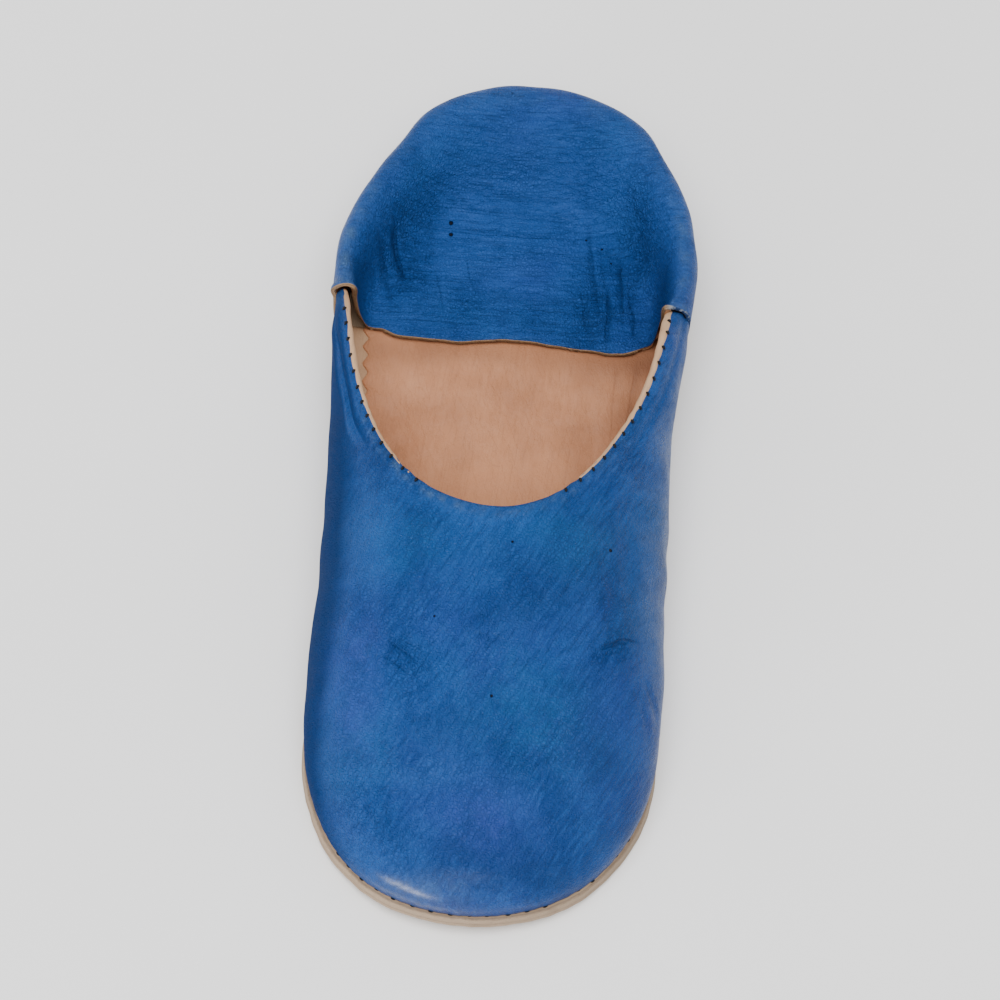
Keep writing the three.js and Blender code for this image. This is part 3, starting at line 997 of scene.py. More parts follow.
@dataclass(frozen=True)
class DyedLeather:
    """Blue dyed leather, satin rubbed: dye clouds, strokes, grain, wear and painted sheen, light and
    shade.
    """

    base: Colour = (0.0025, 0.047, 0.198)
    deep: Colour = (0.0008, 0.031, 0.148)
    pale: Colour = (0.0130, 0.076, 0.275)
    violet: Colour = (0.0200, 0.046, 0.235)
    green: Colour = (0.0010, 0.070, 0.190)
    # rubbed dye, and a painted sheen on the vamp's outer side and along the heel's fold
    worn: Colour = (0.0700, 0.140, 0.260)
    # paler dye, and painted light and highlights
    bright: Colour = (0.0150, 0.085, 0.290)
    # grain lines and darker dye, and painted shade in creases and on the side turned from the light
    shade: Colour = (0.0003, 0.019, 0.088)
    speck: Colour = (0.0010, 0.010, 0.040)
    # painted shade inside the pricked holes
    hole_shade: Colour = (0.0010, 0.003, 0.010)
    stroke_turn: float = -1.08
    streaks: float = 1.5
    clouds: float = 1.25
    lines: float = 0.44
    roughness: float = 0.34
    specular: float = 0.13
    polish_roughness: float = 0.24
    grain_depth: float = 0.24
    pricks: tuple[tuple[float, float, float], ...] = ()
    scores: tuple[Score, ...] = ()

    def make(self, name: str, effects: Effects) -> bpy.types.Material:
        """Builds the material.

        Args:
            name: Name of the finish.
            effects: The shared node groups.
        Returns:
            The material.
        """
        material, sheet, place, shader = open_material(name)
        given = {"Vector": place, "Cells": 1.0, "Wrinkles": 0.5, "Turn": self.stroke_turn}
        grain = sheet.group(effects.grain, given)
        marks = sheet.group(effects.marks, {"Vector": place})
        crushed = sheet.value("crushed")
        crumple = sheet.math("ADD", sheet.times(crushed, 1.2), 1.0)
        lined = sheet.math("ADD", sheet.times(crushed, 0.35), 1.0)
        scored = score_mask(sheet, place, self.scores)
        shaded_holes = prick_mask(sheet, place, self.pricks)
        # pores, grain lines, scratches and specks are the leather's own; crease lines and holes are
        # painted shade
        coats = (
            (sheet.times(grain["Pores"], 0.25), self.deep),
            (sheet.times(grain["Lines"], sheet.times(lined, self.lines), clamp=True), self.shade),
            (sheet.times(marks["Scratches"], 0.10), self.worn),
            (sheet.times(marks["Specks"], 0.5), self.speck),
            (scored, self.shade),
            (shaded_holes, self.hole_shade),
        )
        colour = self.tinted(sheet, place, effects)
        for mask, tone in coats:
            colour = sheet.mix(mask, colour, tone)
        sheet.feed(shader.inputs["Base Color"], colour)
        satin = sheet.noise(place, 0.12, 4.0, 0.6)
        rough = sheet.span(satin, 0.3, 0.75, self.roughness - 0.07, self.roughness + 0.12)
        matt = sheet.times(sheet.value("matt"), 0.75)
        sheet.feed(shader.inputs["Roughness"], sheet.math("ADD", rough, matt, clamp=True))
        height = sheet.times(grain["Height"], crumple)
        for mask, depth in ((marks["Scratches"], 0.3), (scored, 1.8), (shaded_holes, 3.0)):
            height = sheet.math("SUBTRACT", height, sheet.times(mask, depth))
        sheet.emboss(shader, height, self.grain_depth)
        polish = sheet.span(sheet.noise(place, 0.6, 4.0, 0.6), 0.30, 0.60, 0.45, 1.0)
        polish = sheet.times(sheet.value("gloss"), polish, clamp=True)
        sheet.feed(shader.inputs["Coat Weight"], polish)
        shader.inputs["Coat Roughness"].default_value = self.polish_roughness
        shader.inputs["Specular IOR Level"].default_value = self.specular
        return material

    def tinted(self, sheet: Sheet, place: Any, effects: Effects) -> Any:
        """The dye's dark, violet, green, pale and worn places, with painted shade, light and sheen.

        Args:
            sheet: The material's sheet.
            place: Places in millimetres.
            effects: The shared node groups.
        Returns:
            The colour.
        """
        tones = {"Base": self.base, "Deep": self.deep, "Pale": self.pale}
        tints = {"Tint One": self.violet, "Tint Two": self.green, "Turn": self.stroke_turn}
        given = {"Vector": place, **tones, **tints, "Streaks": self.streaks, "Clouds": self.clouds}
        colour = sheet.group(effects.dye, given)["Color"]
        soft = sheet.span(sheet.noise(place, 0.16, 4.0, 0.6), 0.30, 0.66, 0.35, 1.0)
        uneven = sheet.span(sheet.noise(place, 0.35, 4.0, 0.65), 0.30, 0.70, 0.25, 1.0)
        rubs = (
            # darker dye, and painted shade
            ("shade", 1.0, self.shade),
            ("violet", soft, self.violet),
            ("green", soft, self.green),
            # paler dye, and painted light
            ("pale", soft, self.bright),
            # rubbed dye, and painted sheen
            ("worn", uneven, self.worn),
        )
        for key, pattern, tone in rubs:
            colour = sheet.mix(sheet.times(sheet.value(key), pattern, clamp=True), colour, tone)
        return colour


@dataclass(frozen=True)
class NaturalLeather:
    """Undyed leather: soft clouds, pores and stains, and a darker tone that also paints shade."""

    base: Colour
    deep: Colour
    pale: Colour
    stain_and_shade: Colour
    roughness: float = 0.62
    specular: float = 0.35
    grain_depth: float = 0.10
    wrinkles: float = 0.4
    wrinkle_turn: float = 1.2
    stroke_turn: float = -1.5
    streaks: float = 0.55
    clouds: float = 0.8
    scores: tuple[Score, ...] = ()

    def make(self, name: str, effects: Effects) -> bpy.types.Material:
        """Builds the material.

        Args:
            name: Name of the finish.
            effects: The shared node groups.
        Returns:
            The material.
        """
        material, sheet, place, shader = open_material(name)
        tones = {"Base": self.base, "Deep": self.deep, "Pale": self.pale}
        tints = {"Tint One": self.pale, "Tint Two": self.deep, "Turn": self.stroke_turn}
        given = {"Vector": place, **tones, **tints, "Streaks": self.streaks, "Clouds": self.clouds}
        colour = sheet.group(effects.dye, given)["Color"]
        given = {"Vector": place, "Cells": 0.7}
        given |= {"Wrinkles": self.wrinkles, "Turn": self.wrinkle_turn}
        grain = sheet.group(effects.grain, given)
        marks = sheet.group(effects.marks, {"Vector": place})
        blotch = sheet.span(sheet.noise(place, 0.16, 5.0, 0.7), 0.60, 0.78)
        scored = score_mask(sheet, place, self.scores)
        stain_and_shade_masks = (
            # darker where the mesh's shade value asks; on the insole that is painted shadow and
            # painted shade
            sheet.times(sheet.value("shade"), 1.0, clamp=True),
            sheet.times(blotch, 0.35),
            sheet.times(grain["Pores"], 0.18),
            sheet.times(marks["Specks"], 0.4),
            # crease lines: painted shade
            scored,
        )
        for mask in stain_and_shade_masks:
            colour = sheet.mix(mask, colour, self.stain_and_shade)
        sheet.feed(shader.inputs["Base Color"], colour)
        satin = sheet.noise(place, 0.2, 4.0, 0.6)
        rough = sheet.span(satin, 0.3, 0.7, self.roughness - 0.08, self.roughness + 0.1)
        sheet.feed(shader.inputs["Roughness"], rough)
        height = sheet.math("SUBTRACT", grain["Height"], sheet.times(scored, 1.5))
        sheet.emboss(shader, height, self.grain_depth)
        shader.inputs["Specular IOR Level"].default_value = self.specular
        return material


@dataclass(frozen=True)
class CutEdge:
    """Cut edge of leather: fibres in thin layers along the cut, with darker rubbed patches."""

    base: Colour
    deep: Colour
    layer: float
    roughness: float = 0.8
    fibre_depth: float = 0.35
    smear: Colour = (0.002, 0.030, 0.120)
    chafed: Colour = (0.30, 0.34, 0.38)

    def make(self, name: str, effects: Effects) -> bpy.types.Material:
        """Builds the material, its layers a sine of the depth below the face.

        Args:
            name: Name of the finish.
            effects: The shared node groups, which a cut edge does without.
        Returns:
            The material.
        """
        material, sheet, place, shader = open_material(name)
        wave = sheet.times(sheet.noise(place, 0.3, 3.0), 0.9)
        run = sheet.times(sheet.math("ADD", sheet.value("depth"), wave), self.layer)
        layers = sheet.math("SINE", run)
        fibre = sheet.noise(sheet.stretch(place, 0.0, (1.0, 1.0, 2.6)), 1.6, 5.0, 0.7)
        dark = sheet.times(sheet.span(layers, 0.2, 1.0), 0.35)
        dark = sheet.math("ADD", dark, sheet.span(fibre, 0.45, 0.75, 0.0, 0.6), clamp=True)
        rubbed = sheet.span(sheet.noise(place, 0.14, 4.0), 0.55, 0.75)
        colour = sheet.mix(dark, self.base, self.deep)
        colour = sheet.mix(sheet.times(rubbed, 0.4), colour, self.deep)
        chafed = sheet.span(sheet.noise(place, 0.42, 4.0, 0.7), 0.50, 0.60)
        smear = sheet.mix(chafed, self.smear, self.chafed)
        sheet.feed(shader.inputs["Base Color"], sheet.mix(sheet.value("dyed"), colour, smear))
        rough = sheet.span(fibre, 0.3, 0.7, self.roughness - 0.08, self.roughness + 0.08)
        sheet.feed(shader.inputs["Roughness"], rough)
        height = sheet.math("ADD", fibre, sheet.times(layers, 0.25))
        sheet.emboss(shader, height, self.fibre_depth)
        return material


@dataclass(frozen=True)
class WaxedThread:
    """Dark waxed thread with a fine twist."""

    base: Colour = (0.004, 0.004, 0.006)
    pale: Colour = (0.014, 0.014, 0.018)
    specular: float = 0.15
    twist_depth: float = 0.1

    def make(self, name: str, effects: Effects) -> bpy.types.Material:
        """Builds the material.

        Args:
            name: Name of the finish.
            effects: The shared node groups, which thread does without.
        Returns:
            The material.
        """
        material, sheet, place, shader = open_material(name)
        twist = sheet.noise(sheet.stretch(place, 0.7, (6.0, 1.2, 4.0)), 1.0, 2.0)
        colour = sheet.mix(sheet.span(twist, 0.4, 0.65), self.base, self.pale)
        sheet.feed(shader.inputs["Base Color"], colour)
        sheet.feed(shader.inputs["Roughness"], sheet.span(twist, 0.3, 0.7, 0.5, 0.75))
        sheet.emboss(shader, twist, self.twist_depth)
        shader.inputs["Specular IOR Level"].default_value = self.specular
        return material


class Finish(Enum):
    """The finishes that the pieces ask for, by the names of their materials."""

    VAMP = "dyed blue leather"
    FLAP = "dyed blue flap leather"
    SOCK = "insole leather"
    LINING = "cream lining leather"
    FLESH = "lining leather"
    SOLE = "sole leather"
    CUT = "cut edge of the upper"
    SOLE_CUT = "cut edge of the sole"
    THREAD = "waxed thread"


# pricked holes, drawn dark in the finishes: painted shade inside them
VAMP_PRICKS = ((31.8, -34.5, 0.45), (3.6, -37.2, 0.35), (0.4, -81.3, 0.4), (-17.0, -60.0, 0.3))
FLAP_PRICKS = (
    (-20.0, 90.5, 0.62),
    (-19.8, 86.4, 0.62),
    (22.0, 88.0, 0.3),
    (27.0, 85.0, 0.35),
    (30.0, 80.0, 0.3),
)
# crease lines, drawn darker in the finishes: painted shade along the creases
VAMP_SCORES = (
    Score(29, -64, 42, -58, 0.5, 0.75),
    Score(28.6, -64.6, 38.5, -60.8, 0.4, 0.6),
    Score(26, -67, 40, -62.6, 0.4, 0.3),
    Score(-30, -66, -20, -74, 0.5, 0.45),
    Score(-31, -70, -22, -77, 0.4, 0.4),
    Score(-27, -65, -19, -71, 0.4, 0.35),
    Score(43, -68, 48.5, -79, 0.4, 0.35),
    Score(-33, 15, -22, -6, 0.5, 0.3),
    Score(31, 20, 36, 2, 0.45, 0.3),
)
FLAP_SCORES = (
    Score(-43, 101, 16, 100.3, 0.35, 0.26),
    Score(-40, 95, 20, 94, 0.3, 0.16),
    Score(-42.5, 88.1, 21, 87.4, 0.35, 0.30),
    Score(-38, 116.5, 6, 118.3, 0.3, 0.2),
    Score(-30, 109, 14, 108, 0.3, 0.14),
    Score(-30, 84, 8, 82.5, 0.3, 0.16),
    Score(-38.4, 82.4, -32.6, 68, 0.5, 0.5),
    Score(-37.7, 86.1, -33.7, 71.8, 0.4, 0.4),
    Score(-24, 76, -21, 58, 0.4, 0.3),
    Score(22.2, 94.7, 27.3, 58.6, 0.4, 0.32),
    Score(31.9, 84.4, 34.4, 55.6, 0.5, 0.45),
    Score(29.2, 73.2, 29.5, 49, 0.5, 0.5),
    Score(35.5, 70.1, 38.2, 52.3, 0.45, 0.45),
    Score(20, 72, 24, 52, 0.4, 0.4),
    Score(-15, 80, -11, 66, 0.4, 0.3),
)
SOCK_SCORES = (
    Score(33, 48, 32.4, 17, 0.5, 0.28),
    Score(39.6, 50, 35.6, 15, 0.5, 0.4),
    Score(-27, 47, -26, 20, 0.4, 0.12),
)


@dataclass
class Finishes:
    """Every finish of the slipper, made once."""

    effects: Effects = field(default_factory=Effects)
    made: dict[Finish, bpy.types.Material] = field(default_factory=dict)

    def __post_init__(self) -> None:
        """Makes the materials."""
        recipes = {
            Finish.VAMP: DyedLeather(scores=VAMP_SCORES, pricks=VAMP_PRICKS),
            Finish.FLAP: DyedLeather(
                base=(0.0105, 0.065, 0.252),
                deep=(0.0050, 0.048, 0.200),
                pale=(0.022, 0.088, 0.310),
                clouds=0.8,
                stroke_turn=-0.05,
                grain_depth=0.3,
                streaks=1.9,
                lines=0.42,
                roughness=0.42,
                scores=FLAP_SCORES,
                pricks=FLAP_PRICKS,
            ),
            Finish.SOCK: NaturalLeather(
                base=(0.462, 0.200, 0.096),
                deep=(0.370, 0.150, 0.068),
                pale=(0.540, 0.250, 0.127),
                stain_and_shade=(0.21, 0.082, 0.036),
                wrinkles=0.5,
                scores=SOCK_SCORES,
            ),
            Finish.LINING: NaturalLeather(
                base=(0.48, 0.30, 0.175),
                deep=(0.41, 0.24, 0.130),
                pale=(0.54, 0.36, 0.22),
                stain_and_shade=(0.26, 0.12, 0.055),
                roughness=0.7,
            ),
            Finish.FLESH: NaturalLeather(
                base=(0.310, 0.142, 0.066),
                deep=(0.260, 0.112, 0.050),
                pale=(0.35, 0.17, 0.082),
                stain_and_shade=(0.15, 0.065, 0.03),
                roughness=0.7,
            ),
            Finish.SOLE: NaturalLeather(
                base=(0.44, 0.31, 0.20),
                deep=(0.36, 0.24, 0.15),
                pale=(0.50, 0.37, 0.25),
                stain_and_shade=(0.16, 0.10, 0.06),
                roughness=0.55,
                wrinkles=0.2,
            ),
            Finish.CUT: CutEdge((0.30, 0.185, 0.095), (0.075, 0.034, 0.016), layer=8.4),
            Finish.SOLE_CUT: CutEdge((0.34, 0.245, 0.165), (0.20, 0.135, 0.085), layer=3.1),
            Finish.THREAD: WaxedThread(),
        }
        for finish, recipe in recipes.items():
            self.made[finish] = recipe.make(finish.value, self.effects)

    def choose(self, *finishes: Finish) -> list[bpy.types.Material]:
        """The materials of a piece's face, back and cut edge."""
        return [self.made[finish] for finish in finishes]


# ---------------------------------------------------------------------------------------------
# Sub-assemblies
# ---------------------------------------------------------------------------------------------


def between(inner: Array, outer: Array, rows: int) -> tuple[Array, Array]:
    """X and station of a grid whose rows run evenly from one edge line to another.

    Args:
        inner: Points of the first edge, count by 2.
        outer: Points of the other one.
        rows: Points across.
    Returns:
        The x and the station of each point.
    """
    grid = inner[:, None] + (outer - inner)[:, None] * np.linspace(0, 1, rows)[None, :, None]
    return grid[..., 0], grid[..., 1]


def hand_over(made: bpy.types.Object, slot: str, *nodes: str) -> bpy.types.Object:
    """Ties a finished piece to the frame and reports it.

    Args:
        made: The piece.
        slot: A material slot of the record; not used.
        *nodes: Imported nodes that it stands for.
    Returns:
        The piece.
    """
    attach(made, BODY)
    if nodes:
        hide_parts(*nodes)
    LOG.info("%s: %d faces", made.name, len(made.data.polygons))
    return made


@dataclass
class Vamp:
    """The vamp: one wide piece of blue leather from seam to seam, over the toe."""

    last: Last
    columns: int = 331
    rows: int = 118
    crown_rows: int = 260
    tuck_rows: int = 40
    leather: float = 1.1
    stitch_pitch: float = 5.8
    sole_pitch: float = 5.4
    pucker_pitch: float = 3.3
    fold_pitch: float = 15.0
    band: float = 7.6
    narrow: float = 2.0
    sections: Table = Table(
        "share at inner outer top wide flat full",
        (
            (0.0, 163.8, -2.0, -2.0, 44.0, 3.5, 1.30, 1.65),
            (0.2, 160.0, -17.5, 11.3, 43.2, 4.5, 1.32, 1.68),
            (0.4, 150.5, -29.0, 22.0, 41.0, 7.0, 1.38, 1.75),
            (0.6, 136.0, -38.0, 31.5, 37.5, 9.0, 1.45, 1.85),
            (0.8, 114.0, -45.2, 41.0, 32.0, 12.0, 1.70, 2.00),
            (1.0, 86.0, -50.2, 46.8, 25.0, 18.0, 2.00, 2.00),
        ),
    )
    creases: tuple[Crease, ...] = (
        Crease(((29.0, 201.0), (35.0, 198.6), (42.0, 195.0)), 0.22, 0.9),
        Crease(((28.6, 201.4), (34.0, 200.4), (38.5, 197.6)), 0.20, 0.8),
        Crease(((26.0, 204.0), (33.0, 203.2), (40.0, 199.6)), 0.20, 0.7),
        Crease(((43.0, 205.0), (46.5, 210.0), (48.5, 216.0)), 0.30, 0.8),
        Crease(((41.0, 210.0), (44.5, 216.0), (46.0, 223.0)), 0.22, 0.8),
        Crease(((31.0, 172.0), (34.0, 184.0), (33.0, 196.0)), 0.30, 1.6),
        Crease(((36.0, 160.0), (38.0, 176.0), (37.5, 190.0)), 0.32, 1.9),
        Crease(((-30.0, 203.0), (-25.0, 206.0), (-20.0, 211.0)), 0.22, 0.9),
        Crease(((-31.0, 207.0), (-27.0, 209.0), (-22.0, 214.0)), 0.20, 0.9),
        Crease(((-12.0, 186.0), (2.0, 192.0), (18.0, 190.0)), 0.30, 4.0),
        Crease(((-40.0, 170.0), (-36.0, 190.0), (-37.0, 212.0)), 0.35, 3.2),
        Crease(((-20.0, 226.0), (0.0, 231.0), (20.0, 226.0)), 0.26, 4.5),
        Crease(((8.0, 212.0), (16.0, 220.0), (27.0, 224.0)), 0.20, 2.4),
    )
    # paler dye, and painted highlights on the inner shoulder and at the toe's rim
    pale_and_painted_light_patches: tuple[Patch, ...] = (
        # painted highlight on the inner shoulder
        Patch(-36.0, 176.0, 6.0, 16.0, 0.38, 0.1),
        Patch(24.0, 172.0, 12.0, 12.0, 0.12),
        Patch(-38.0, 214.0, 6.0, 10.0, 0.16),
        Patch(-6.0, 240.0, 16.0, 4.0, 0.16, -0.1),
        Patch(12.0, 216.0, 14.0, 8.0, 0.10),
        Patch(44.0, 196.0, 5.0, 24.0, 0.16),
        # painted highlight at the toe's rim
        Patch(-24.0, 262.0, 10.0, 4.0, 0.16, 0.5),
        Patch(-38.0, 244.0, 4.0, 9.0, 0.25, -0.4),
        Patch(2.0, 175.0, 22.0, 7.0, 0.22),
    )
    violet_patches: tuple[Patch, ...] = (
        Patch(-38.0, 212.0, 7.0, 22.0, 0.9),
        Patch(0.0, 250.0, 14.0, 10.0, 0.8, 0.2),
        Patch(34.0, 216.0, 8.0, 10.0, 0.4),
    )
    green_patches: tuple[Patch, ...] = (
        Patch(14.0, 221.0, 20.0, 16.0, 0.45, 0.3),
        Patch(22.0, 170.0, 16.0, 9.0, 0.4),
        Patch(-24.0, 176.0, 10.0, 10.0, 0.35),
    )
    crushed_patches: tuple[Patch, ...] = (
        Patch(-25.0, 207.0, 9.0, 5.0, 0.6, 0.5),
        Patch(36.0, 203.0, 9.0, 8.0, 0.6, -0.3),
        Patch(30.0, 176.0, 9.0, 16.0, 0.5),
        Patch(-33.0, 250.0, 10.0, 8.0, 0.6, 0.6),
        Patch(-10.0, 200.0, 14.0, 12.0, 0.4),
    )
    # darker dye, and painted shade down the inner side and in a crease
    dark_and_painted_shade_patches: tuple[Patch, ...] = (
        Patch(-25.0, 206.0, 9.0, 3.0, 0.16, 0.55),
        Patch(-12.0, 228.0, 16.0, 8.0, 0.22),
        Patch(-6.0, 184.0, 16.0, 9.0, 0.10, 0.3),
        # painted shade down the inner side
        Patch(-49.0, 190.0, 5.0, 60.0, 0.45),
        Patch(14.0, 190.0, 20.0, 5.0, 0.18, -0.5),
        Patch(14.0, 262.0, 20.0, 5.0, 0.30, 0.1),
        Patch(2.0, 256.0, 18.0, 7.0, 0.22),
        Patch(33.0, 232.0, 8.0, 8.0, 0.20),
        # painted shade in a crease
        Patch(34.0, 199.0, 7.0, 2.0, 0.10, -0.35),
    )

    def topline(self, share: Array) -> tuple[Array, Array]:
        """The throat's edge, a smooth curve through the sections of both sides.

        Args:
            share: -1 at the inner seam, 0 at the throat's front and 1 at the outer seam.
        Returns:
            The x and the station at each share.
        """
        names = ("share", "at", "inner", "outer")
        keys, at, inner, outer = (self.sections.column(n) for n in names)
        keys = np.concatenate([-keys[:0:-1], keys])
        x = curve(keys, np.concatenate([inner[:0:-1], outer]), share)
        return x, curve(keys, np.concatenate([at[:0:-1], at]), share)

    def form(self) -> tuple[Array, Array]:
        """The vamp's smooth surface.

        From the topline each column runs to the widest line, its height falling from the top by
        (1 - reach^flat)^(1/full), and then tucks in to the sole on a quarter of an ellipse.

        Returns:
            The points, columns by rows by 3, and the share of each column.
        """
        last = self.last
        share = np.linspace(1, -1, self.columns)
        place, out = last.run(True, share)
        top_x, top_at = self.topline(share)
        names = ("top", "wide", "flat", "full")
        section = (self.sections.read("share", n, np.abs(share))[:, None] for n in names)
        top, wide, flat, full = section
        reach = 1 - (1 - np.linspace(0, 1, self.crown_rows)) ** 2
        floor_at = last.seam_at + last.gap / 2
        wide_at = np.maximum(place[:, 1], floor_at)
        x = top_x[:, None] + (place[:, :1] - top_x[:, None]) * reach
        at = (top_at + last.gap / 2)[:, None] + (wide_at - top_at - last.gap / 2)[:, None] * reach
        fall = np.clip(1 - reach**flat, 0, 1) ** (1 / full)
        crown = last.solid(x, at, last.feather(at) + wide + (top - wide) * fall)
        phi = np.pi / 2 * (1 - np.arange(1, self.tuck_rows + 1) / self.tuck_rows)
        tuck = last.plan("tuck", last.turn(place[:, 1]))[:, None]
        edge = place[:, None, :] - out[:, None, :] * (tuck * (1 - np.sin(phi)))[..., None]
        edge_at = np.maximum(edge[..., 1], floor_at)
        edge_z = last.feather(edge_at) + wide * (1 - np.cos(phi))
        under = last.solid(edge[..., 0], edge_at, edge_z)
        return even_rows(np.concatenate([crown, under], axis=1), self.rows), share

    def relief(self, grid: Array, share: Array) -> Array:
        """Height of the creases and swellings over the smooth form.

        Args:
            grid: The smooth form.
            share: The share of each column.
        Returns:
            The height to add along the normal at each point.
        """
        x, at = grid[..., 0], self.last.length / 2 - grid[..., 1]
        down, s = row_lengths(grid), share[:, None]
        left = down[:, -1:] - down
        arc = distance_along(grid[:, 0])[:, None]
        total = crease_relief(self.creases, x, at)
        total = total + self.throat(s, down, arc) + self.collar(s, down, arc)
        # slack in the leather: long soft swellings over the crown, shorter ones among them
        total = total + 0.28 * wander(x, at, 62, 11) * smooth(4, 16, down) * smooth(2, 14, left)
        total = total + 0.12 * wander(x, at, 21, 12) * smooth(4, 12, down) * smooth(1, 6, left)
        # and down the sides, with upright folds in the outer one
        sides = smooth(0.45, 0.75, np.abs(s)) * smooth(8, 14, down) * smooth(0.5, 5, left)
        folds = bump(178, 30, at) * smooth(0, 1, s) * np.sin(2 * np.pi * at / self.fold_pitch + 0.4)
        total = total + sides * (0.34 * wander(at, grid[..., 2] * 0.4, 26, 13) + 0.55 * folds)
        # pulled in at every stitch of the sole seam
        foot_arc = distance_along(grid[:, -1])[:, None]
        pull = 0.5 + 0.5 * np.cos(2 * np.pi * foot_arc / self.sole_pitch)
        total = total - 0.16 * bump(0, 2.4, left) * pull
        # the wing's tip is drawn in under the heel quarter
        return total - 0.6 * smooth(0.94, 1.0, np.abs(s)) * (1 - smooth(8, 20, down))

    def throat(self, s: Array, down: Array, arc: Array) -> Array:
        """The throat's worn ridge, a shallow valley behind it and small radial puckers.

        Ridge and valley are bells across the edge. The puckers are a sine along it, its phase
        wandering.

        Args:
            s: Share of each column.
            down: Distance from the edge.
            arc: Distance along the edge.
        Returns:
            The height to add.
        """
        middle = 1 - smooth(0.5, 0.85, np.abs(s))
        ridge = 0.42 * bump(3.0, 1.7, down) - 0.34 * bump(7.5, 2.6, down)
        phase = 2 * np.pi * arc / self.pucker_pitch + 1.4 * wander(arc, arc * 0, 17, 3)
        weight = 0.35 + 0.65 * bump(-0.28, 0.3, s)
        return middle * (ridge + 0.13 * weight * np.sin(phase) * bump(3.6, 2.4, down))

    def collar(self, s: Array, down: Array, arc: Array) -> Array:
        """The crease on each side that runs beside the topline, bells across a wandering band.

        Args:
            s: Share of each column.
            down: Distance from the edge.
            arc: Distance along the edge.
        Returns:
            The height to add.
        """
        past = down - self.band - 0.5 * wander(arc, arc * 0, 30, 4)
        inner = 0.26 * bump(0, 1.6, past - 3.0) + 0.30 * bump(0, 2.0, past + 3.6)
        inner = inner - 0.75 * bump(0, 1.2, past)
        outer = 0.20 * bump(0, 2.0, past + 3.4) - 0.42 * bump(0, 1.3, past)
        return (1 - smooth(-0.72, -0.56, s)) * inner + smooth(0.56, 0.74, s) * outer

    def surface(self, dips: float = 1.0) -> tuple[Array, Array]:
        """The creased surface.

        Args:
            dips: How far the blue edge draws in between the topline stitches, 1 for all the way.
        Returns:
            The points and the share of each column.
        """
        grid, share = self.form()
        grid = grid + normals(grid) * self.relief(grid, share)[..., None]
        down = row_lengths(grid)
        arc = distance_along(grid[:, 0])[:, None]
        way = unit(grid[:, 2:3] - grid[:, :1])
        dip = 0.25 * dips * (1 - np.cos(2 * np.pi * arc / self.stitch_pitch)) * np.exp(-down / 1.6)
        dip = dip * smooth(0.15, 0.5, np.abs(share))[:, None]
        grid = grid + way * dip[..., None]
        # the wing's tip reaches back under the heel quarter's fold, a little below it
        wing = smooth(0.93, 1.0, np.abs(share))[:, None] * (1 - smooth(3, 15, down))
        grid[..., 1] += 1.9 * wing
        grid[..., 2] -= 2.2 * wing
        return grid, share

    def build(self, finishes: Finishes) -> bpy.types.Object:
        """Makes and dresses the piece.

        Args:
            finishes: The finishes.
        Returns:
            The finished piece.
        """
        grid, share = self.surface()
        made = shell(grid, self.leather, seat=self.rows - 1)
        x, at = grid[..., 0], self.last.length / 2 - grid[..., 1]
        # faces turned to the inner side, away from the light: painted shade there, and a matt finish
        steep = smooth(0.55, 0.92, -normals(grid)[..., 0])
        shine = 0.60 * bump(-17, 17, x) * smooth(262.5, 267.5, at)
        made.mark(
            grid,
            self.leather,
            # rubbed dye, and painted sheen on the outer side
            worn=np.clip(self.worn(grid, share), 0, 1),
            # painted shade on the inner side and in creases, and darker dye
            shade=self.shade(grid, share, steep),
            # paler dye, and painted highlights
            pale=np.clip(1.6 * patch_amount(self.pale_and_painted_light_patches, x, at), 0, 1),
            matt=steep,
            gloss=np.clip(shine, 0, 1),
            violet=patch_amount(self.violet_patches, x, at),
            green=patch_amount(self.green_patches, x, at),
            crushed=np.clip(patch_amount(self.crushed_patches, x, at), 0, 1),
        )
        skins = finishes.choose(Finish.VAMP, Finish.FLESH, Finish.CUT)
        return hand_over(made.piece("vamp_leather", skins), "blue_leather", "vamp")

    def worn(self, grid: Array, share: Array) -> Array:
        """Rubbed dye on throat, stitched edge, wings, toe and sole seam; painted sheen on the outer
        side.

        Args:
            grid: The creased surface.
            share: The share of each column.
        Returns:
            How much wear and painted sheen each point has.
        """
        x, at = grid[..., 0], self.last.length / 2 - grid[..., 1]
        down, s = row_lengths(grid), share[:, None]
        left = down[:, -1:] - down
        middle = (0.40 + 0.35 * (s < 0)) * (1 - smooth(0.45, 0.8, np.abs(s)))
        worn = middle * bump(2.2, 1.3, down) * (0.5 + 0.5 * evenly(wander(x, at, 5, 21)))
        worn = worn + 0.30 * np.exp(-down / 0.7)
        worn = worn + 0.4 * smooth(0.93, 1.0, np.abs(s)) * bump(6, 6, down)
        toe = bump(-14, 14, x) * bump(269, 4.0, at)
        worn = worn + 0.30 * toe * (0.6 + 0.4 * evenly(wander(x, at, 7, 22)))
        # painted sheen on the faces turned to the outer side
        outer = 0.08 * smooth(0.70, 0.97, normals(grid)[..., 0])
        worn = worn + outer * (0.7 + 0.3 * evenly(wander(x, at, 12, 23)))
        return worn + 0.22 * bump(0.6, 0.7, left)

    def shade(self, grid: Array, share: Array, steep: Array) -> Array:
        """Darker sole seam, throat edge and patches; painted shade on the inner side and in creases.

        Args:
            grid: The creased surface.
            share: The share of each column.
            steep: How steeply each point faces the inner side.
        Returns:
            How dark each point is, from 0 to 1.
        """
        x, at = grid[..., 0], self.last.length / 2 - grid[..., 1]
        down = row_lengths(grid)
        arc = distance_along(grid[:, 0])[:, None]
        front = (1 - smooth(0.2, 0.5, np.abs(share)))[:, None]
        ragged = front * np.exp(-down / 0.5) * np.clip(wander(arc, arc * 0, 4, 24), 0, 1)
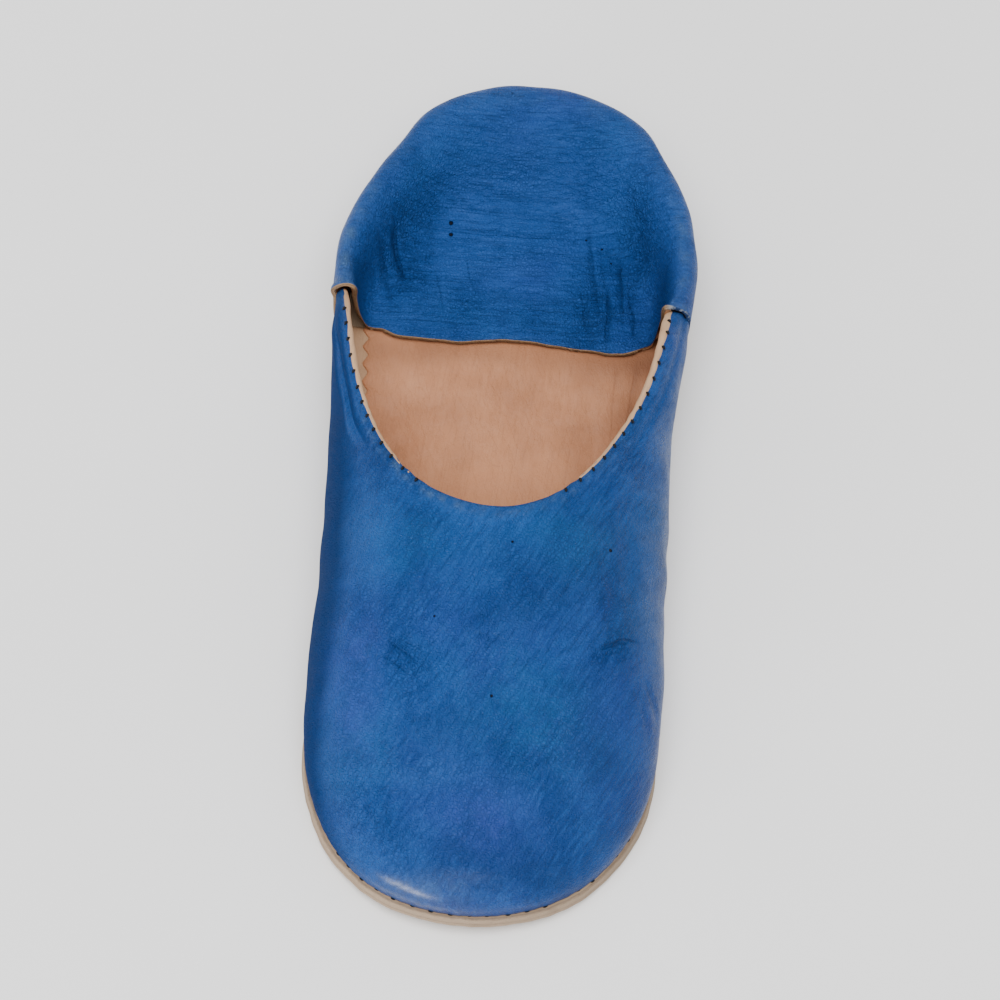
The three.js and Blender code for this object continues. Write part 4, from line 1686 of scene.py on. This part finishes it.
        # darker along the sole seam and in bits at the throat's edge; painted shade on the inner
        # side
        shade = 0.25 * bump(0, 1.0, down[:, -1:] - down) + 0.80 * steep + 0.6 * ragged
        shade = np.clip(shade + 1.25 * patch_amount(self.dark_and_painted_shade_patches, x, at), 0, 1)
        narrow = tuple(crease for crease in self.creases if crease.width < self.narrow)
        # painted shade in the narrow creases
        return np.clip(shade + 0.2 * trough_depth(narrow, x, at), 0, 1)


@dataclass
class HeelQuarter:
    """The heel quarter: up the back of the heel, over the fold and down the flap inside."""

    last: Last
    columns: int = 301
    rows: int = 124
    wall_rows: int = 48
    slope_rows: int = 160
    lie_rows: int = 60
    leather: float = 1.5
    half_round: float = 130.0
    rim_widest: float = 0.72
    sections: Table = Table(
        "share rim roll_in roll_out foot steep",
        (
            (0.00, 18.0, 6.0, 6.0, 0.52, 0.42),
            (0.35, 19.5, 5.6, 6.0, 0.46, 0.45),
            (0.60, 22.0, 5.0, 6.6, 0.48, 0.50),
            (0.80, 24.0, 4.6, 7.2, 0.62, 0.56),
            (1.00, 25.0, 4.4, 7.4, 1.00, 0.60),
        ),
    )
    flap_edge: Table = Table(
        "across x at",
        (
            (-1.0, -42.0, 86.0),
            (-0.9, -38.2, 86.8),
            (-0.8, -34.0, 88.2),
            (-0.4, -17.0, 89.0),
            (0.1, 4.0, 87.2),
            (0.5, 21.0, 89.0),
            (0.8, 34.0, 89.6),
            (0.9, 38.5, 88.0),
            (1.0, 42.5, 86.0),
        ),
    )
    creases: tuple[Crease, ...] = (
        Crease(((-43.0, 36.0), (-20.0, 34.5), (0.0, 36.5), (16.0, 36.7)), 0.16, 0.8),
        Crease(((-40.0, 42.0), (-18.0, 40.5), (4.0, 42.0), (20.0, 43.0)), 0.14, 0.8),
        Crease(((-42.5, 48.9), (-20.0, 47.5), (2.0, 49.0), (21.0, 49.6)), 0.20, 0.9),
        Crease(((-30.0, 53.0), (-12.0, 52.0), (8.0, 54.5)), 0.13, 0.8),
        Crease(((-38.0, 20.5), (-16.0, 18.5), (6.0, 18.7)), 0.15, 1.0),
        Crease(((-30.0, 28.0), (-10.0, 27.0), (14.0, 29.0)), 0.13, 0.9),
        Crease(((-38.4, 54.6), (-36.0, 62.0), (-32.6, 69.0)), 0.30, 1.0),
        Crease(((-37.7, 50.9), (-36.4, 58.0), (-33.7, 65.2)), 0.26, 0.9),
        Crease(((-41.0, 58.0), (-39.0, 68.0), (-36.0, 78.0)), 0.34, 1.2),
        Crease(((22.2, 42.3), (24.0, 60.0), (27.3, 78.4)), 0.30, 1.1),
        Crease(((31.9, 52.6), (33.0, 66.0), (34.4, 81.4)), 0.34, 1.1),
        Crease(((29.2, 63.8), (30.2, 76.0), (29.5, 88.0)), 0.30, 1.0),
        Crease(((35.5, 66.9), (37.0, 76.0), (38.2, 84.7)), 0.32, 1.0),
        Crease(((26.0, 50.0), (27.6, 62.0), (30.0, 74.0)), 0.22, 0.8),
        Crease(((-12.0, 70.0), (4.0, 73.0), (20.0, 72.0)), 0.20, 2.4),
    )
    crushed_patches: tuple[Patch, ...] = (
        Patch(-33.0, 64.0, 8.0, 15.0, 1.0),
        Patch(-16.0, 76.0, 8.0, 10.0, 0.7),
        Patch(26.0, 72.0, 11.0, 20.0, 1.0),
        Patch(37.0, 62.0, 5.0, 18.0, 0.8),
        Patch(6.0, 80.0, 14.0, 8.0, 0.5),
    )
    # painted light, which brightens the flap where its slopes fall into shade
    pale_and_painted_light_patches: tuple[Patch, ...] = (
        Patch(-33.0, 36.0, 8.0, 13.0, 0.75),
        Patch(-22.0, 26.0, 9.0, 6.0, 0.35),
        Patch(33.0, 41.0, 7.0, 12.0, 0.50),
        Patch(-5.0, 80.0, 26.0, 9.0, 0.50),
    )

    def form(self) -> tuple[Array, Array]:
        """The quarter's smooth surface.

        Each column swells from the sole on a quarter ellipse, rolls over the fold on another one,
        runs down a cubic slope and lies flat on the insole to the cut edge.

        Returns:
            The points, and the share of each column.
        """
        last = self.last
        share = np.linspace(1, -1, self.columns)
        place, out = last.run(False, share)
        names = ("rim", "roll_in", "roll_out", "foot", "steep")
        section = (self.sections.read("share", n, np.abs(share))[:, None] for n in names)
        rim, roll_in, roll_out, foot_share, steep = section
        roll = np.where(share[:, None] < 0, roll_in, roll_out)
        tuck = last.plan("tuck", last.turn(place[:, 1]))[:, None]
        cut_x = self.flap_edge.read("across", "x", share)
        cut_at = self.flap_edge.read("across", "at", share) - last.gap / 2
        cut = np.stack([cut_x, cut_at], axis=-1)
        reach = np.linalg.norm(cut - place, axis=1)[:, None]
        inward = unit(cut - place)
        low = self.rim_widest * rim
        seam, base = last.seam_at - last.gap / 2, last.feather(0.0)
        phi = np.pi / 2 * np.arange(self.wall_rows) / self.wall_rows
        wall = place[:, None] - out[:, None] * (tuck * (1 - np.sin(phi)))[..., None]
        wall_z = low * (1 - np.cos(phi))
        top = place[:, None] + inward[:, None] * (roll * (1 - np.cos(phi)))[..., None]
        top_z = low + (rim - low) * np.sin(phi)
        t = np.arange(self.slope_rows) / self.slope_rows
        onward = 3 * (1 - t) ** 2 * t * steep + 3 * (1 - t) * t**2 * (1 - steep) + t**3
        rest = last.insole + last.gap + last.wall
        slope = (reach - roll) * foot_share
        hill = place[:, None] + inward[:, None] * (roll + slope * onward)[..., None]
        hill_z = rim + (rest - rim) * (3 * (1 - t) * t**2 + t**3)
        foot = place[:, None] + inward[:, None] * (roll + slope)[..., None]
        lie = foot + (cut[:, None] - foot) * np.linspace(0, 1, self.lie_rows)[None, :, None]
        lie_z = np.full((len(share), self.lie_rows), rest)
        plan = np.concatenate([wall, top, hill, lie], axis=1)
        height = np.concatenate([wall_z, top_z, hill_z, lie_z], axis=1)
        on_wall = np.arange(plan.shape[1]) < self.wall_rows
        at = np.minimum(plan[..., 1], np.where(on_wall, seam, np.inf))
        at = np.where(np.abs(share)[:, None] == 1, seam, at)
        return even_rows(last.solid(plan[..., 0], at, base + height), self.rows), share

    def cracks(self, x: Array, at: Array) -> Array:
        """Thin broken wrinkles down the flap: where a stretched ripple passes through zero.

        Args:
            x: Places across the shoe.
            at: Stations of the places.
        Returns:
            The strength of the wrinkles, from 0 to 1.
        """
        ripple = wander(x, at * 0.22, 5.0, 33) + 0.35 * wander(x, at * 0.6, 3.0, 42)
        broken = smooth(-0.4, 0.5, wander(x * 0.7, at, 9.0, 43))
        return bump(0, 0.11, ripple) * broken

    def rim_row(self, grid: Array) -> Array:
        """Distance up each column at which the fold is highest."""
        arc = row_lengths(grid)
        return np.take_along_axis(arc, np.argmax(grid[..., 2], axis=1)[:, None], 1)

    def surface(self) -> tuple[Array, Array, Array]:
        """The creased surface.

        Returns:
            The points, the share of each column and each point's distance past the fold's top.
        """
        grid, share = self.form()
        arc = row_lengths(grid)
        past = arc - self.rim_row(grid)
        left = arc[:, -1:] - arc
        x, at = grid[..., 0], self.last.length / 2 - grid[..., 1]
        s = share[:, None]
        flap = smooth(2, 10, past)
        total = flap * crease_relief(self.creases, x, at)
        total = total + 0.30 * flap * wander(x, at, 48, 31) * smooth(0, 12, left)
        total = total + 0.11 * flap * wander(x * 0.35, at, 6.5, 32) * bump(34, 26, at)
        crushed = np.clip(patch_amount(self.crushed_patches, x, at), 0, 1)
        crumple = 0.26 * wander(x, at * 0.3, 6.0, 33) - 0.34 * self.cracks(x, at)
        total = total + flap * crushed * crumple
        outside = 1 - smooth(-9, -2, past)
        way_round = s * self.half_round
        swell = wander(way_round, grid[..., 2] * 0.5, 24, 34)
        total = total + 0.25 * outside * swell * smooth(1, 6, arc)
        total = total + 0.22 * bump(0, 4, past) * wander(way_round, past, 17, 35)
        # the front edge is drawn back where it arches over the vamp's wing, and flares a little
        ends = smooth(0.90, 1.0, np.abs(s))
        arch = smooth(-17, -7, past) * (1 - smooth(3, 19, past))
        flare = smooth(0.95, 1.0, np.abs(s)) * smooth(-10, -5, past) * (1 - smooth(1, 8, past))
        hook_in = 1.0 + 0.9 * bump(-6.5, 3.0, past)
        hook_out = 1.0 - 0.7 * (1 - smooth(-4, 0, past))
        hook = np.where(s < 0, hook_in, hook_out)
        total = total + flare * hook * (1.0 + 0.15 * wander(arc, arc * 0, 9, 36))
        grid = grid + normals(grid) * total[..., None]
        grid[..., 1] += ends * arch * (0.9 + 0.3 * wander(arc, arc * 0, 9, 37))
        # the flap's cut edge waves and lifts off the insole
        lip = np.exp(-left / 5.0)
        wave = wander(x, x * 0, 42, 38)
        grid[..., 2] += lip * (0.5 + 0.25 * wave) * (1 - ends)
        grid[..., 1] -= lip * 0.18 * wander(x, x * 0, 14, 39) * (1 - ends)
        return grid, share, past

    def build(self, finishes: Finishes) -> bpy.types.Object:
        """Makes and dresses the piece.

        Args:
            finishes: The finishes.
        Returns:
            The finished piece.
        """
        grid, share, past = self.surface()
        s = np.abs(share)[:, None]
        corner = smooth(0.86, 0.93, s) * smooth(12, 19, past)
        made = shell(grid, self.leather, seat=0, upright=corner)
        x, at = grid[..., 0], self.last.length / 2 - grid[..., 1]
        left = past[:, -1:] - past
        outer = (share > 0)[:, None]
        # painted sheen along the fold's top with some rubbed dye, and rubbed dye at the cut edge and
        # front ends
        rim = (0.16 + 0.50 * smooth(0.45, 0.9, s)) * bump(0, 3.2, past)
        worn = rim * (0.7 + 0.4 * evenly(wander(x, at, 9, 41))) + 0.25 * np.exp(-left / 0.8)
        worn = worn + 0.5 * smooth(0.95, 1.0, s) * bump(-3, 6, past)
        # darker dye and painted shade beside the fold, and darker on the back of the heel
        beside = smooth(0.55, 0.85, s) * bump(13, 8, past)
        shade = (0.30 + 0.25 * outer) * beside + 0.35 * (1 - smooth(-16, -8, past))
        shade = shade + 0.12 * bump(20, 14, past) * (1 - smooth(0.5, 0.7, s))
        # painted shade in the creases, and below it in the wrinkles
        shade = shade + 1.6 * smooth(2, 10, past) * trough_depth(self.creases, x, at)
        crushed = np.clip(patch_amount(self.crushed_patches, x, at), 0, 1)
        shade = shade + 0.45 * smooth(4, 10, past) * crushed * self.cracks(x, at)
        # painted light where the flap falls into shade
        pale = np.clip(patch_amount(self.pale_and_painted_light_patches, x, at), 0, 1)
        made.mark(
            grid,
            self.leather,
            worn=np.clip(worn, 0, 1),
            shade=np.clip(shade, 0, 1),
            dyed=outer * (1 - smooth(-1.5, 1.0, past)),
            crushed=crushed,
            pale=smooth(3, 9, past) * pale,
        )
        skins = finishes.choose(Finish.FLAP, Finish.FLESH, Finish.CUT)
        return hand_over(made.piece("heel_quarter_leather", skins), "blue_leather", "heel_quarter")


@dataclass
class ToplineLining:
    """The cream lining: rolled over the topline like piping, then down inside to the insole."""

    last: Last
    vamp: Vamp
    columns: int = 331
    roll_rows: int = 16
    wall_rows: int = 34
    leather: float = 0.6
    behind: float = 1.9
    flatten: float = 2.6
    radius: Table = Table(
        "share size", ((0.0, 0.2), (0.3, 0.25), (0.5, 0.7), (0.75, 1.1), (1.0, 1.3))
    )

    def surface(self) -> Array:
        """The lining's visible surface.

        A roll of a little more than half a turn goes over the vamp's edge. From its inner end the
        lining follows the vamp's inside near the toe, and slopes to the insole's edge at the sides.

        Returns:
            The points, columns by rows by 3.
        """
        outer, share = self.vamp.surface(dips=0.0)
        outer, share = outer[::-1], share[::-1]
        s, side_of = np.abs(share), np.sign(share)
        along = share[:, None] * 90
        way = -normals(outer)
        edge, n = outer[:, 0], way[:, 0]
        down = unit(outer[:, 3] - outer[:, 0])
        size = self.radius.read("share", "size", s)[:, None]
        peep = np.clip(wander(along, along * 0, 7, 52), 0, 1)
        size = size + 0.22 * peep * (1 - smooth(0.3, 0.55, s))[:, None]
        size = size * (1 - 0.22 * smooth(0.80, 0.97, -share))[:, None]
        size = size * (1 + 0.10 * wander(along, along * 0, 4, 53))
        theta = np.radians(np.linspace(-58, 188, self.roll_rows))
        centre = edge - n * (0.95 * np.minimum(size, 1.0) + 0.35 * (size < 0.5))
        centre = centre + down * (1.35 - smooth(0.25, 0.6, size))
        roll = centre[:, None] + n[:, None] * (size * np.cos(theta))[..., None]
        roll = roll - down[:, None] * (size * 1.1 * np.sin(theta))[..., None]
        inside = even_rows(outer - way * self.behind, self.wall_rows + 2)[:, 2:]
        t = np.linspace(0, 1, self.wall_rows)[None, :, None]
        start = roll[:, -1:]
        at = self.last.length / 2 - edge[:, 1]
        angle = self.last.turn(at)
        foot = self.last.widest(angle, side_of)
        sock = self.last.plan("sock", angle)
        foot_x = foot[:, 0] - side_of * (sock + 3.4)
        end = self.last.solid(foot_x, at, self.last.insole_top(at) - 0.5)[:, None]
        # beside the throat it drops upright and turns level at its foot
        slope = np.repeat(start, self.wall_rows, axis=1)
        slope[..., :2] += (end - start)[..., :2] * t**self.flatten
        slope[..., 2:] += (end - start)[..., 2:] * (1 - (1 - t) ** self.flatten)
        swell = side_of * (0.8 + 0.6 * smooth(0.86, 1.0, s))
        slope[..., 0] += swell[:, None] * np.sin(np.pi * t[..., 0]) ** 2
        side = smooth(0.42, 0.62, s)[:, None, None]
        follow = inside * t**0.3 + (start + (inside - start) * t) * (1 - t**0.3)
        wall = follow + (slope - follow) * side
        return np.concatenate([roll, wall[:, 1:]], axis=1)

    def build(self, finishes: Finishes) -> bpy.types.Object:
        """Makes and dresses the piece.

        Args:
            finishes: The finishes.
        Returns:
            The finished piece.
        """
        grid = self.surface()
        made = shell(grid, self.leather)
        down = row_lengths(grid)
        arc = distance_along(grid[:, 0])[:, None]
        shade = smooth(4.5, 8.0, down) * 0.30 + 0.12 * np.clip(wander(arc, down, 8, 51), 0, 1)
        made.mark(grid, shade=np.clip(shade, 0, 1), depth=down)
        skins = finishes.choose(Finish.LINING, Finish.FLESH, Finish.LINING)
        return hand_over(made.piece("topline_lining", skins), "insole_leather")


@dataclass
class Insole:
    """The insole: tan leather, pinked along its inner edge, creased where the foot bends it."""

    last: Last
    columns: int = 560
    rows: int = 45
    tooth_pitch: float = 5.9
    tooth_depth: float = 2.1
    inner_less: float = 0.9
    outer_more: float = -0.6
    edge: float = 0.45
    creases: tuple[Crease, ...] = (
        Crease(((33.0, 92.0), (33.6, 104.0), (32.4, 118.0)), 0.22, 0.7),
        Crease(((39.6, 90.0), (38.6, 104.0), (35.6, 120.0)), 0.32, 0.8),
        Crease(((-30.0, 101.0), (-24.0, 99.6), (-14.0, 98.0)), 0.12, 0.7),
        Crease(((8.0, 111.0), (18.0, 114.0), (28.0, 113.0)), 0.12, 1.0),
        Crease(((-36.0, 108.0), (-33.0, 122.0), (-26.0, 136.0)), 0.16, 1.4),
    )

    def outline(self, inset: float) -> tuple[Array, Array]:
        """Inner and outer edge points for a distance inside the insole's edge.

        Args:
            inset: How far inside the edge.
        Returns:
            Points of the inner edge and of the outer one, as x and station.
        """
        angle = np.linspace(0, np.pi, self.columns)
        sock = self.last.plan("sock", angle)
        edges = []
        for side in Side:
            line = self.last.widest(angle, side.value)
            cut = np.full(self.columns, self.outer_more)
            if side is Side.INNER:
                wave = np.abs((distance_along(line) / self.tooth_pitch) % 1 - 0.5) * 2
                ends = smooth(60, 76, line[:, 1]) * (1 - smooth(170, 186, line[:, 1]))
                cut = self.tooth_depth * wave * ends + self.inner_less
            edges.append(line - outward(line, side.value) * (sock + inset + cut)[:, None])
        return edges[0], edges[1]

    def build(self, finishes: Finishes) -> bpy.types.Object:
        """Makes and dresses the piece.

        Args:
            finishes: The finishes.
        Returns:
            The finished piece.
        """
        last, top = self.last, self.last.insole
        levels = []
        # each level's distance inside the edge and its height: both edges are rounded
        steps = ((self.edge, 0.0), (0.0, 0.45), (0.0, top - 0.4), (0.15, top - 0.12))
        steps += ((self.edge, top),)
        for inset, height in steps:
            x, at = between(*self.outline(inset), self.rows)
            z = last.feather(at) + height
            if height == top:
                z = z + self.relief(x, at)
            levels.append(last.solid(x, at, z))
        made = slab(levels)
        points = made.points
        x, at = points[:, 0], last.length / 2 - points[:, 1]
        # painted shadow under the flap's cut edge, and painted shade towards and under the vamp's
        # throat
        shade = 0.40 * bump(0, 5.0, at - 91.5) + 0.22 * smooth(150, 166, at)
        # soft random tone, and darker towards the outer side
        shade = shade + 0.14 * evenly(wander(x, at, 26, 61)) + 0.45 * smooth(8, 36, x)
        # painted shade in the creases
        shade = shade + 0.9 * trough_depth(self.creases, x, at)
        made.values = {"shade": np.clip(shade, 0, 1), "depth": points[:, 2]}
        skins = finishes.choose(Finish.SOCK, Finish.FLESH, Finish.SOCK)
        return hand_over(made.piece("insole_leather_sock", skins), "insole_leather", "insole")

    def relief(self, x: Array, at: Array) -> Array:
        """Height of the insole's creases, its slack and the hollow that the foot has pressed.

        Args:
            x: Places across the shoe.
            at: Stations of the places.
        Returns:
            The height to add.
        """
        total = crease_relief(self.creases, x, at)
        seen = smooth(92, 100, at)
        total = total + seen * (0.16 * wander(x, at, 34, 62) + 0.05 * wander(x, at, 9, 63))
        return total - 0.35 * seen * bump(0, 22, x) * bump(125, 34, at)


@dataclass
class Sole:
    """The outsole with its stitched ledge, and the heel lift under it."""

    last: Last
    columns: int = 420
    rows: int = 25
    lift_columns: int = 220
    lift_rows: int = 61
    groove: float = 0.18

    def outline(self, inset: float, angle: Array) -> tuple[Array, Array]:
        """Inner and outer edge of the outsole, as x and station.

        Args:
            inset: How far inside the edge.
            angle: Angles along the shoe.
        Returns:
            Points of the inner edge and of the outer one.
        """
        pull = self.last.plan("tuck", angle) - self.last.plan("ledge", angle) + inset
        edges = []
        for side in Side:
            line = self.last.widest(angle, side.value)
            out = outward(line, side.value)
            out[0], out[-1] = (0.0, -1.0), (0.0, 1.0)
            x, at = line[:, 0], line[:, 1]
            rough = 0.07 * wander(at, x, 7, 71) + 0.10 * wander(at, x, 23, 72)
            edges.append(line - out * (pull - rough)[:, None])
        return edges[0], edges[1]

    def build_outsole(self, finishes: Finishes) -> bpy.types.Object:
        """Makes and dresses the outsole.

        Args:
            finishes: The finishes.
        Returns:
            The finished piece.
        """
        thick = self.last.outsole
        angle = np.linspace(0, np.pi, self.columns)
        # each level's distance inside the edge and its height: rounded foot, groove, rounded top
        steps = ((0.5, 0.0), (-0.05, 0.06), (-0.45, 0.35), (-0.55, 0.9), (-0.45, 1.85))
        steps += ((self.groove - 0.45, 2.0), (-0.4, 2.15), (-0.2, 3.1), (0.0, 3.6))
        steps += ((0.12, 3.85), (0.4, thick - 0.02), (0.9, thick))
        levels = []
        for inset, height in steps:
            x, at = between(*self.outline(inset, angle), self.rows)
            levels.append(self.last.solid(x, at, self.last.underside(at) + height))
        made = slab(levels)
        points = made.points
        at = self.last.length / 2 - points[:, 1]
        depth = points[:, 2] - self.last.underside(at)
        shade = 0.35 * (depth < 0.1) * np.clip(0.5 + 0.4 * wander(points[:, 0], at, 40, 73), 0, 1)
        made.values = {"shade": shade, "depth": depth}
        skins = finishes.choose(Finish.SOLE, Finish.SOLE, Finish.SOLE_CUT)
        return hand_over(made.piece("outsole_leather", skins), "sole_leather", "outsole")

    def lift_pull(self, angle: Array) -> Array:
        """How far the heel lift's edge lies inside the slipper's widest line."""
        return self.last.plan("tuck", angle) - self.last.plan("ledge", angle) - self.last.lift_show

    def build_lift(self, finishes: Finishes) -> bpy.types.Object:
        """Makes and dresses the heel lift.

        Its front edge curves back at the middle: a station is moved back by the breast's hollow
        times 1 - v^2, more the nearer it lies to the front.

        Args:
            finishes: The finishes.
        Returns:
            The finished piece.
        """
        last = self.last
        angle = np.linspace(0, last.turn(last.breast_at), self.lift_columns)
        v = np.linspace(-1, 1, self.lift_rows)[None, :]
        levels = []
        # rounded foot, two grooves between the layers, rounded top
        steps = ((0.9, 0.0), (0.35, 0.08), (0.0, 0.5), (0.0, 1.6), (0.16, 1.75), (0.0, 1.9))
        steps += ((0.0, 3.2), (0.16, 3.35), (0.0, 3.5), (0.0, 4.6), (0.3, 4.92), (0.8, last.lift))
        for inset, height in steps:
            pull = self.lift_pull(angle) + inset
            # the heel end is squared off where the drawn-in outline would close to a point
            turn = np.maximum(angle, angle[np.argmax(last.plan("half", angle) > pull)])
            pull = self.lift_pull(turn) + inset
            half = (last.plan("half", turn) - pull)[:, None]
            at = (last.station(turn) + pull * bump(0, 26, last.station(turn)))[:, None]
            share = last.station(turn)[:, None] / last.breast_at
            at = at - share**6 * (last.breast_hollow * (1 - v**2) + inset)
            corner = 1 - 0.03 * share**24 * np.abs(v) ** 6
            x = last.plan("centre", turn)[:, None] + v * half * corner
            levels.append(last.solid(x, at, np.full_like(x, height)))
        made = slab(levels)
        made.values = {"shade": 0.2 * (made.points[:, 2] < 0.1), "depth": made.points[:, 2] * 1.2}
        skins = finishes.choose(Finish.SOLE, Finish.SOLE, Finish.SOLE_CUT)
        return hand_over(made.piece("heel_lift_leather", skins), "sole_leather", "heel_lift")


@dataclass
class Stitching:
    """Dark hand stitches: round the sole's ledge and along both sides of the topline."""

    last: Last
    vamp: Vamp
    ring_samples: int = 1500
    ledge_pitch: float = 5.4
    ledge_from: float = 96.0
    topline_from: float = 0.30

    def ledge(self, finishes: Finishes) -> bpy.types.Object:
        """Stitches on the ledge, just outside the line where the vamp meets the sole.

        Args:
            finishes: The finishes.
        Returns:
            The finished piece.
        """
        last = self.last
        place, out = last.ring(self.ring_samples)
        tuck = last.plan("tuck", last.turn(place[:, 1]))
        line = place - out * (tuck - 0.12)[:, None]
        keep = place[:, 1] > self.ledge_from
        line, out = line[keep], out[keep]
        arc = distance_along(line)
        count = int(arc[-1] / self.ledge_pitch)
        draw = np.random.default_rng(81)
        goal = (np.arange(count) + 0.5) * arc[-1] / count + draw.uniform(-0.35, 0.35, count)
        tucked = draw.uniform(0.0, 0.55, count)
        way = read_along(goal, arc, out)
        x, at = (read_along(goal, arc, line) - way * tucked[:, None]).T
        side = unit(np.stack([way[:, 0], -way[:, 1], np.zeros(count)], -1))
        up = np.tile([0.0, 0.0, 1.0], (count, 1))
        along = unit(np.cross(up, side))
        places = last.solid(x, at, last.sole_top(at) + 0.16)
        made = beads(places, along, unit(up * 0.8 + side * 0.6), 1.5, 0.5)
        piece = made.piece("ledge_stitches", finishes.choose(Finish.THREAD))
        return hand_over(piece, "sole_leather")

    def topline(self, finishes: Finishes) -> bpy.types.Object:
        """Stitches that hold the rolled lining, over the blue leather's edge on both sides.

        Args:
            finishes: The finishes.
        Returns:
            The finished piece.
        """
        grid, share = self.vamp.surface()
        arc = distance_along(grid[:, 0])
        goal = np.arange(int(arc[-1] / self.vamp.stitch_pitch)) * self.vamp.stitch_pitch
        goal = goal[np.abs(np.interp(goal, arc, share)) > self.topline_from]
        edge, below = read_along(goal, arc, grid[:, 0]), read_along(goal, arc, grid[:, 4])
        n = unit(read_along(goal, arc, normals(grid)[:, 1]))
        down = unit(below - edge)
        ahead = unit(read_along(goal + 0.5, arc, grid[:, 0]) - edge)
        places = edge + down * 0.75 + n * 0.45
        made = beads(places, unit(down + 0.2 * ahead), n, 1.45, 0.95)
        piece = made.piece("topline_stitches", finishes.choose(Finish.THREAD))
        return hand_over(piece, "blue_leather")


@dataclass
class Studio:
    """Pale floor, soft lights and the camera."""

    turn: float = -2.0
    rise: float = 61.0
    roll: float = 5.6
    distance: float = 1.0
    aim: tuple[float, float, float] = (0.0, -0.0065, 0.015)
    lens: float = 122.04
    sensor: float = 36.0
    floor_size: float = 6.0

    def floor(self) -> bpy.types.Object:
        """Makes the floor.

        Returns:
            The floor's object.
        """
        half = self.floor_size / 2
        corners = [(-half, -half, 0), (half, -half, 0), (half, half, 0), (-half, half, 0)]
        mesh = bpy.data.meshes.new("floor")
        mesh.from_pydata(corners, [], [(0, 1, 2, 3)])
        made = bpy.data.objects.new("floor", mesh)
        bpy.context.scene.collection.objects.link(made)
        material, sheet, place, shader = open_material("pale floor")
        tone = sheet.span(sheet.noise(place, 0.01, 2.0), 0.3, 0.7)
        pale = sheet.mix(tone, (0.93, 0.93, 0.93), (0.95, 0.95, 0.95))
        sheet.feed(shader.inputs["Base Color"], pale)
        shader.inputs["Roughness"].default_value = 0.9
        shader.inputs["Specular IOR Level"].default_value = 0.1
        mesh.materials.append(material)
        return made

    def light(self, name: str, place: Colour, size: tuple[float, float], power: float) -> None:
        """Adds a soft flat light that faces the slipper.

        Args:
            name: Name of the light.
            place: Where it stands, in metres.
            size: Its width and height, in metres.
            power: Its power in watts.
        """
        data = bpy.data.lights.new(name, "AREA")
        data.shape, data.energy = "RECTANGLE", power
        data.size, data.size_y = size
        lamp = bpy.data.objects.new(name, data)
        lamp.location = place
        facing = Vector(self.aim) - Vector(place)
        lamp.rotation_euler = facing.to_track_quat("-Z", "Y").to_euler()
        bpy.context.scene.collection.objects.link(lamp)

    def lights(self) -> None:
        """Sets the soft lights and the even light of the room."""
        world = bpy.data.worlds.new("room")
        world.use_nodes = True
        back = world.node_tree.nodes["Background"]
        back.inputs[0].default_value = (1.0, 1.0, 1.0, 1.0)
        back.inputs[1].default_value = 0.8
        bpy.context.scene.world = world
        # a wide soft light above the toe, and a low window whose gleam lies along the toe's rim
        self.light("key", (-0.12, -0.40, 1.9), (1.8, 1.8), 51.0)
        self.light("window", (-0.87, -1.34, 0.18), (0.9, 0.26), 19.0)

    def camera(self) -> None:
        """Sets the camera.

        It looks at the aim from the given turn and rise, and is then rolled about its own axis.
        """
        data = bpy.data.cameras.new("camera")
        data.lens, data.sensor_width = self.lens, self.sensor
        data.clip_start, data.clip_end = 0.01, 50.0
        a, e, r = np.radians([self.turn, self.rise, self.roll])
        back = np.array([np.sin(a) * np.cos(e), -np.cos(a) * np.cos(e), np.sin(e)])
        level = np.array([np.cos(a), np.sin(a), 0.0])
        upright = np.cross(back, level)
        right = level * np.cos(r) + upright * np.sin(r)
        up = upright * np.cos(r) - level * np.sin(r)
        eye = np.array(self.aim) + back * self.distance
        matrix = np.eye(4)
        matrix[:3, 0], matrix[:3, 1], matrix[:3, 2], matrix[:3, 3] = right, up, back, eye
        lens = bpy.data.objects.new("camera", data)
        bpy.context.scene.collection.objects.link(lens)
        lens.matrix_world = Matrix(matrix.tolist())
        bpy.context.scene.camera = lens

    def build(self) -> None:
        """Sets up the whole studio."""
        self.floor()
        self.lights()
        self.camera()


def main() -> None:
    """Builds the slipper piece by piece."""
    logging.basicConfig(level=logging.INFO, format="%(name)s: %(message)s")
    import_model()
    finishes = Finishes()
    last = Last()
    vamp = Vamp(last)
    sole = Sole(last)
    stitching = Stitching(last, vamp)
    vamp.build(finishes)
    HeelQuarter(last).build(finishes)
    ToplineLining(last, vamp).build(finishes)
    Insole(last).build(finishes)
    sole.build_outsole(finishes)
    sole.build_lift(finishes)
    stitching.ledge(finishes)
    stitching.topline(finishes)
    Studio().build()


if __name__ == "__main__":
    main()
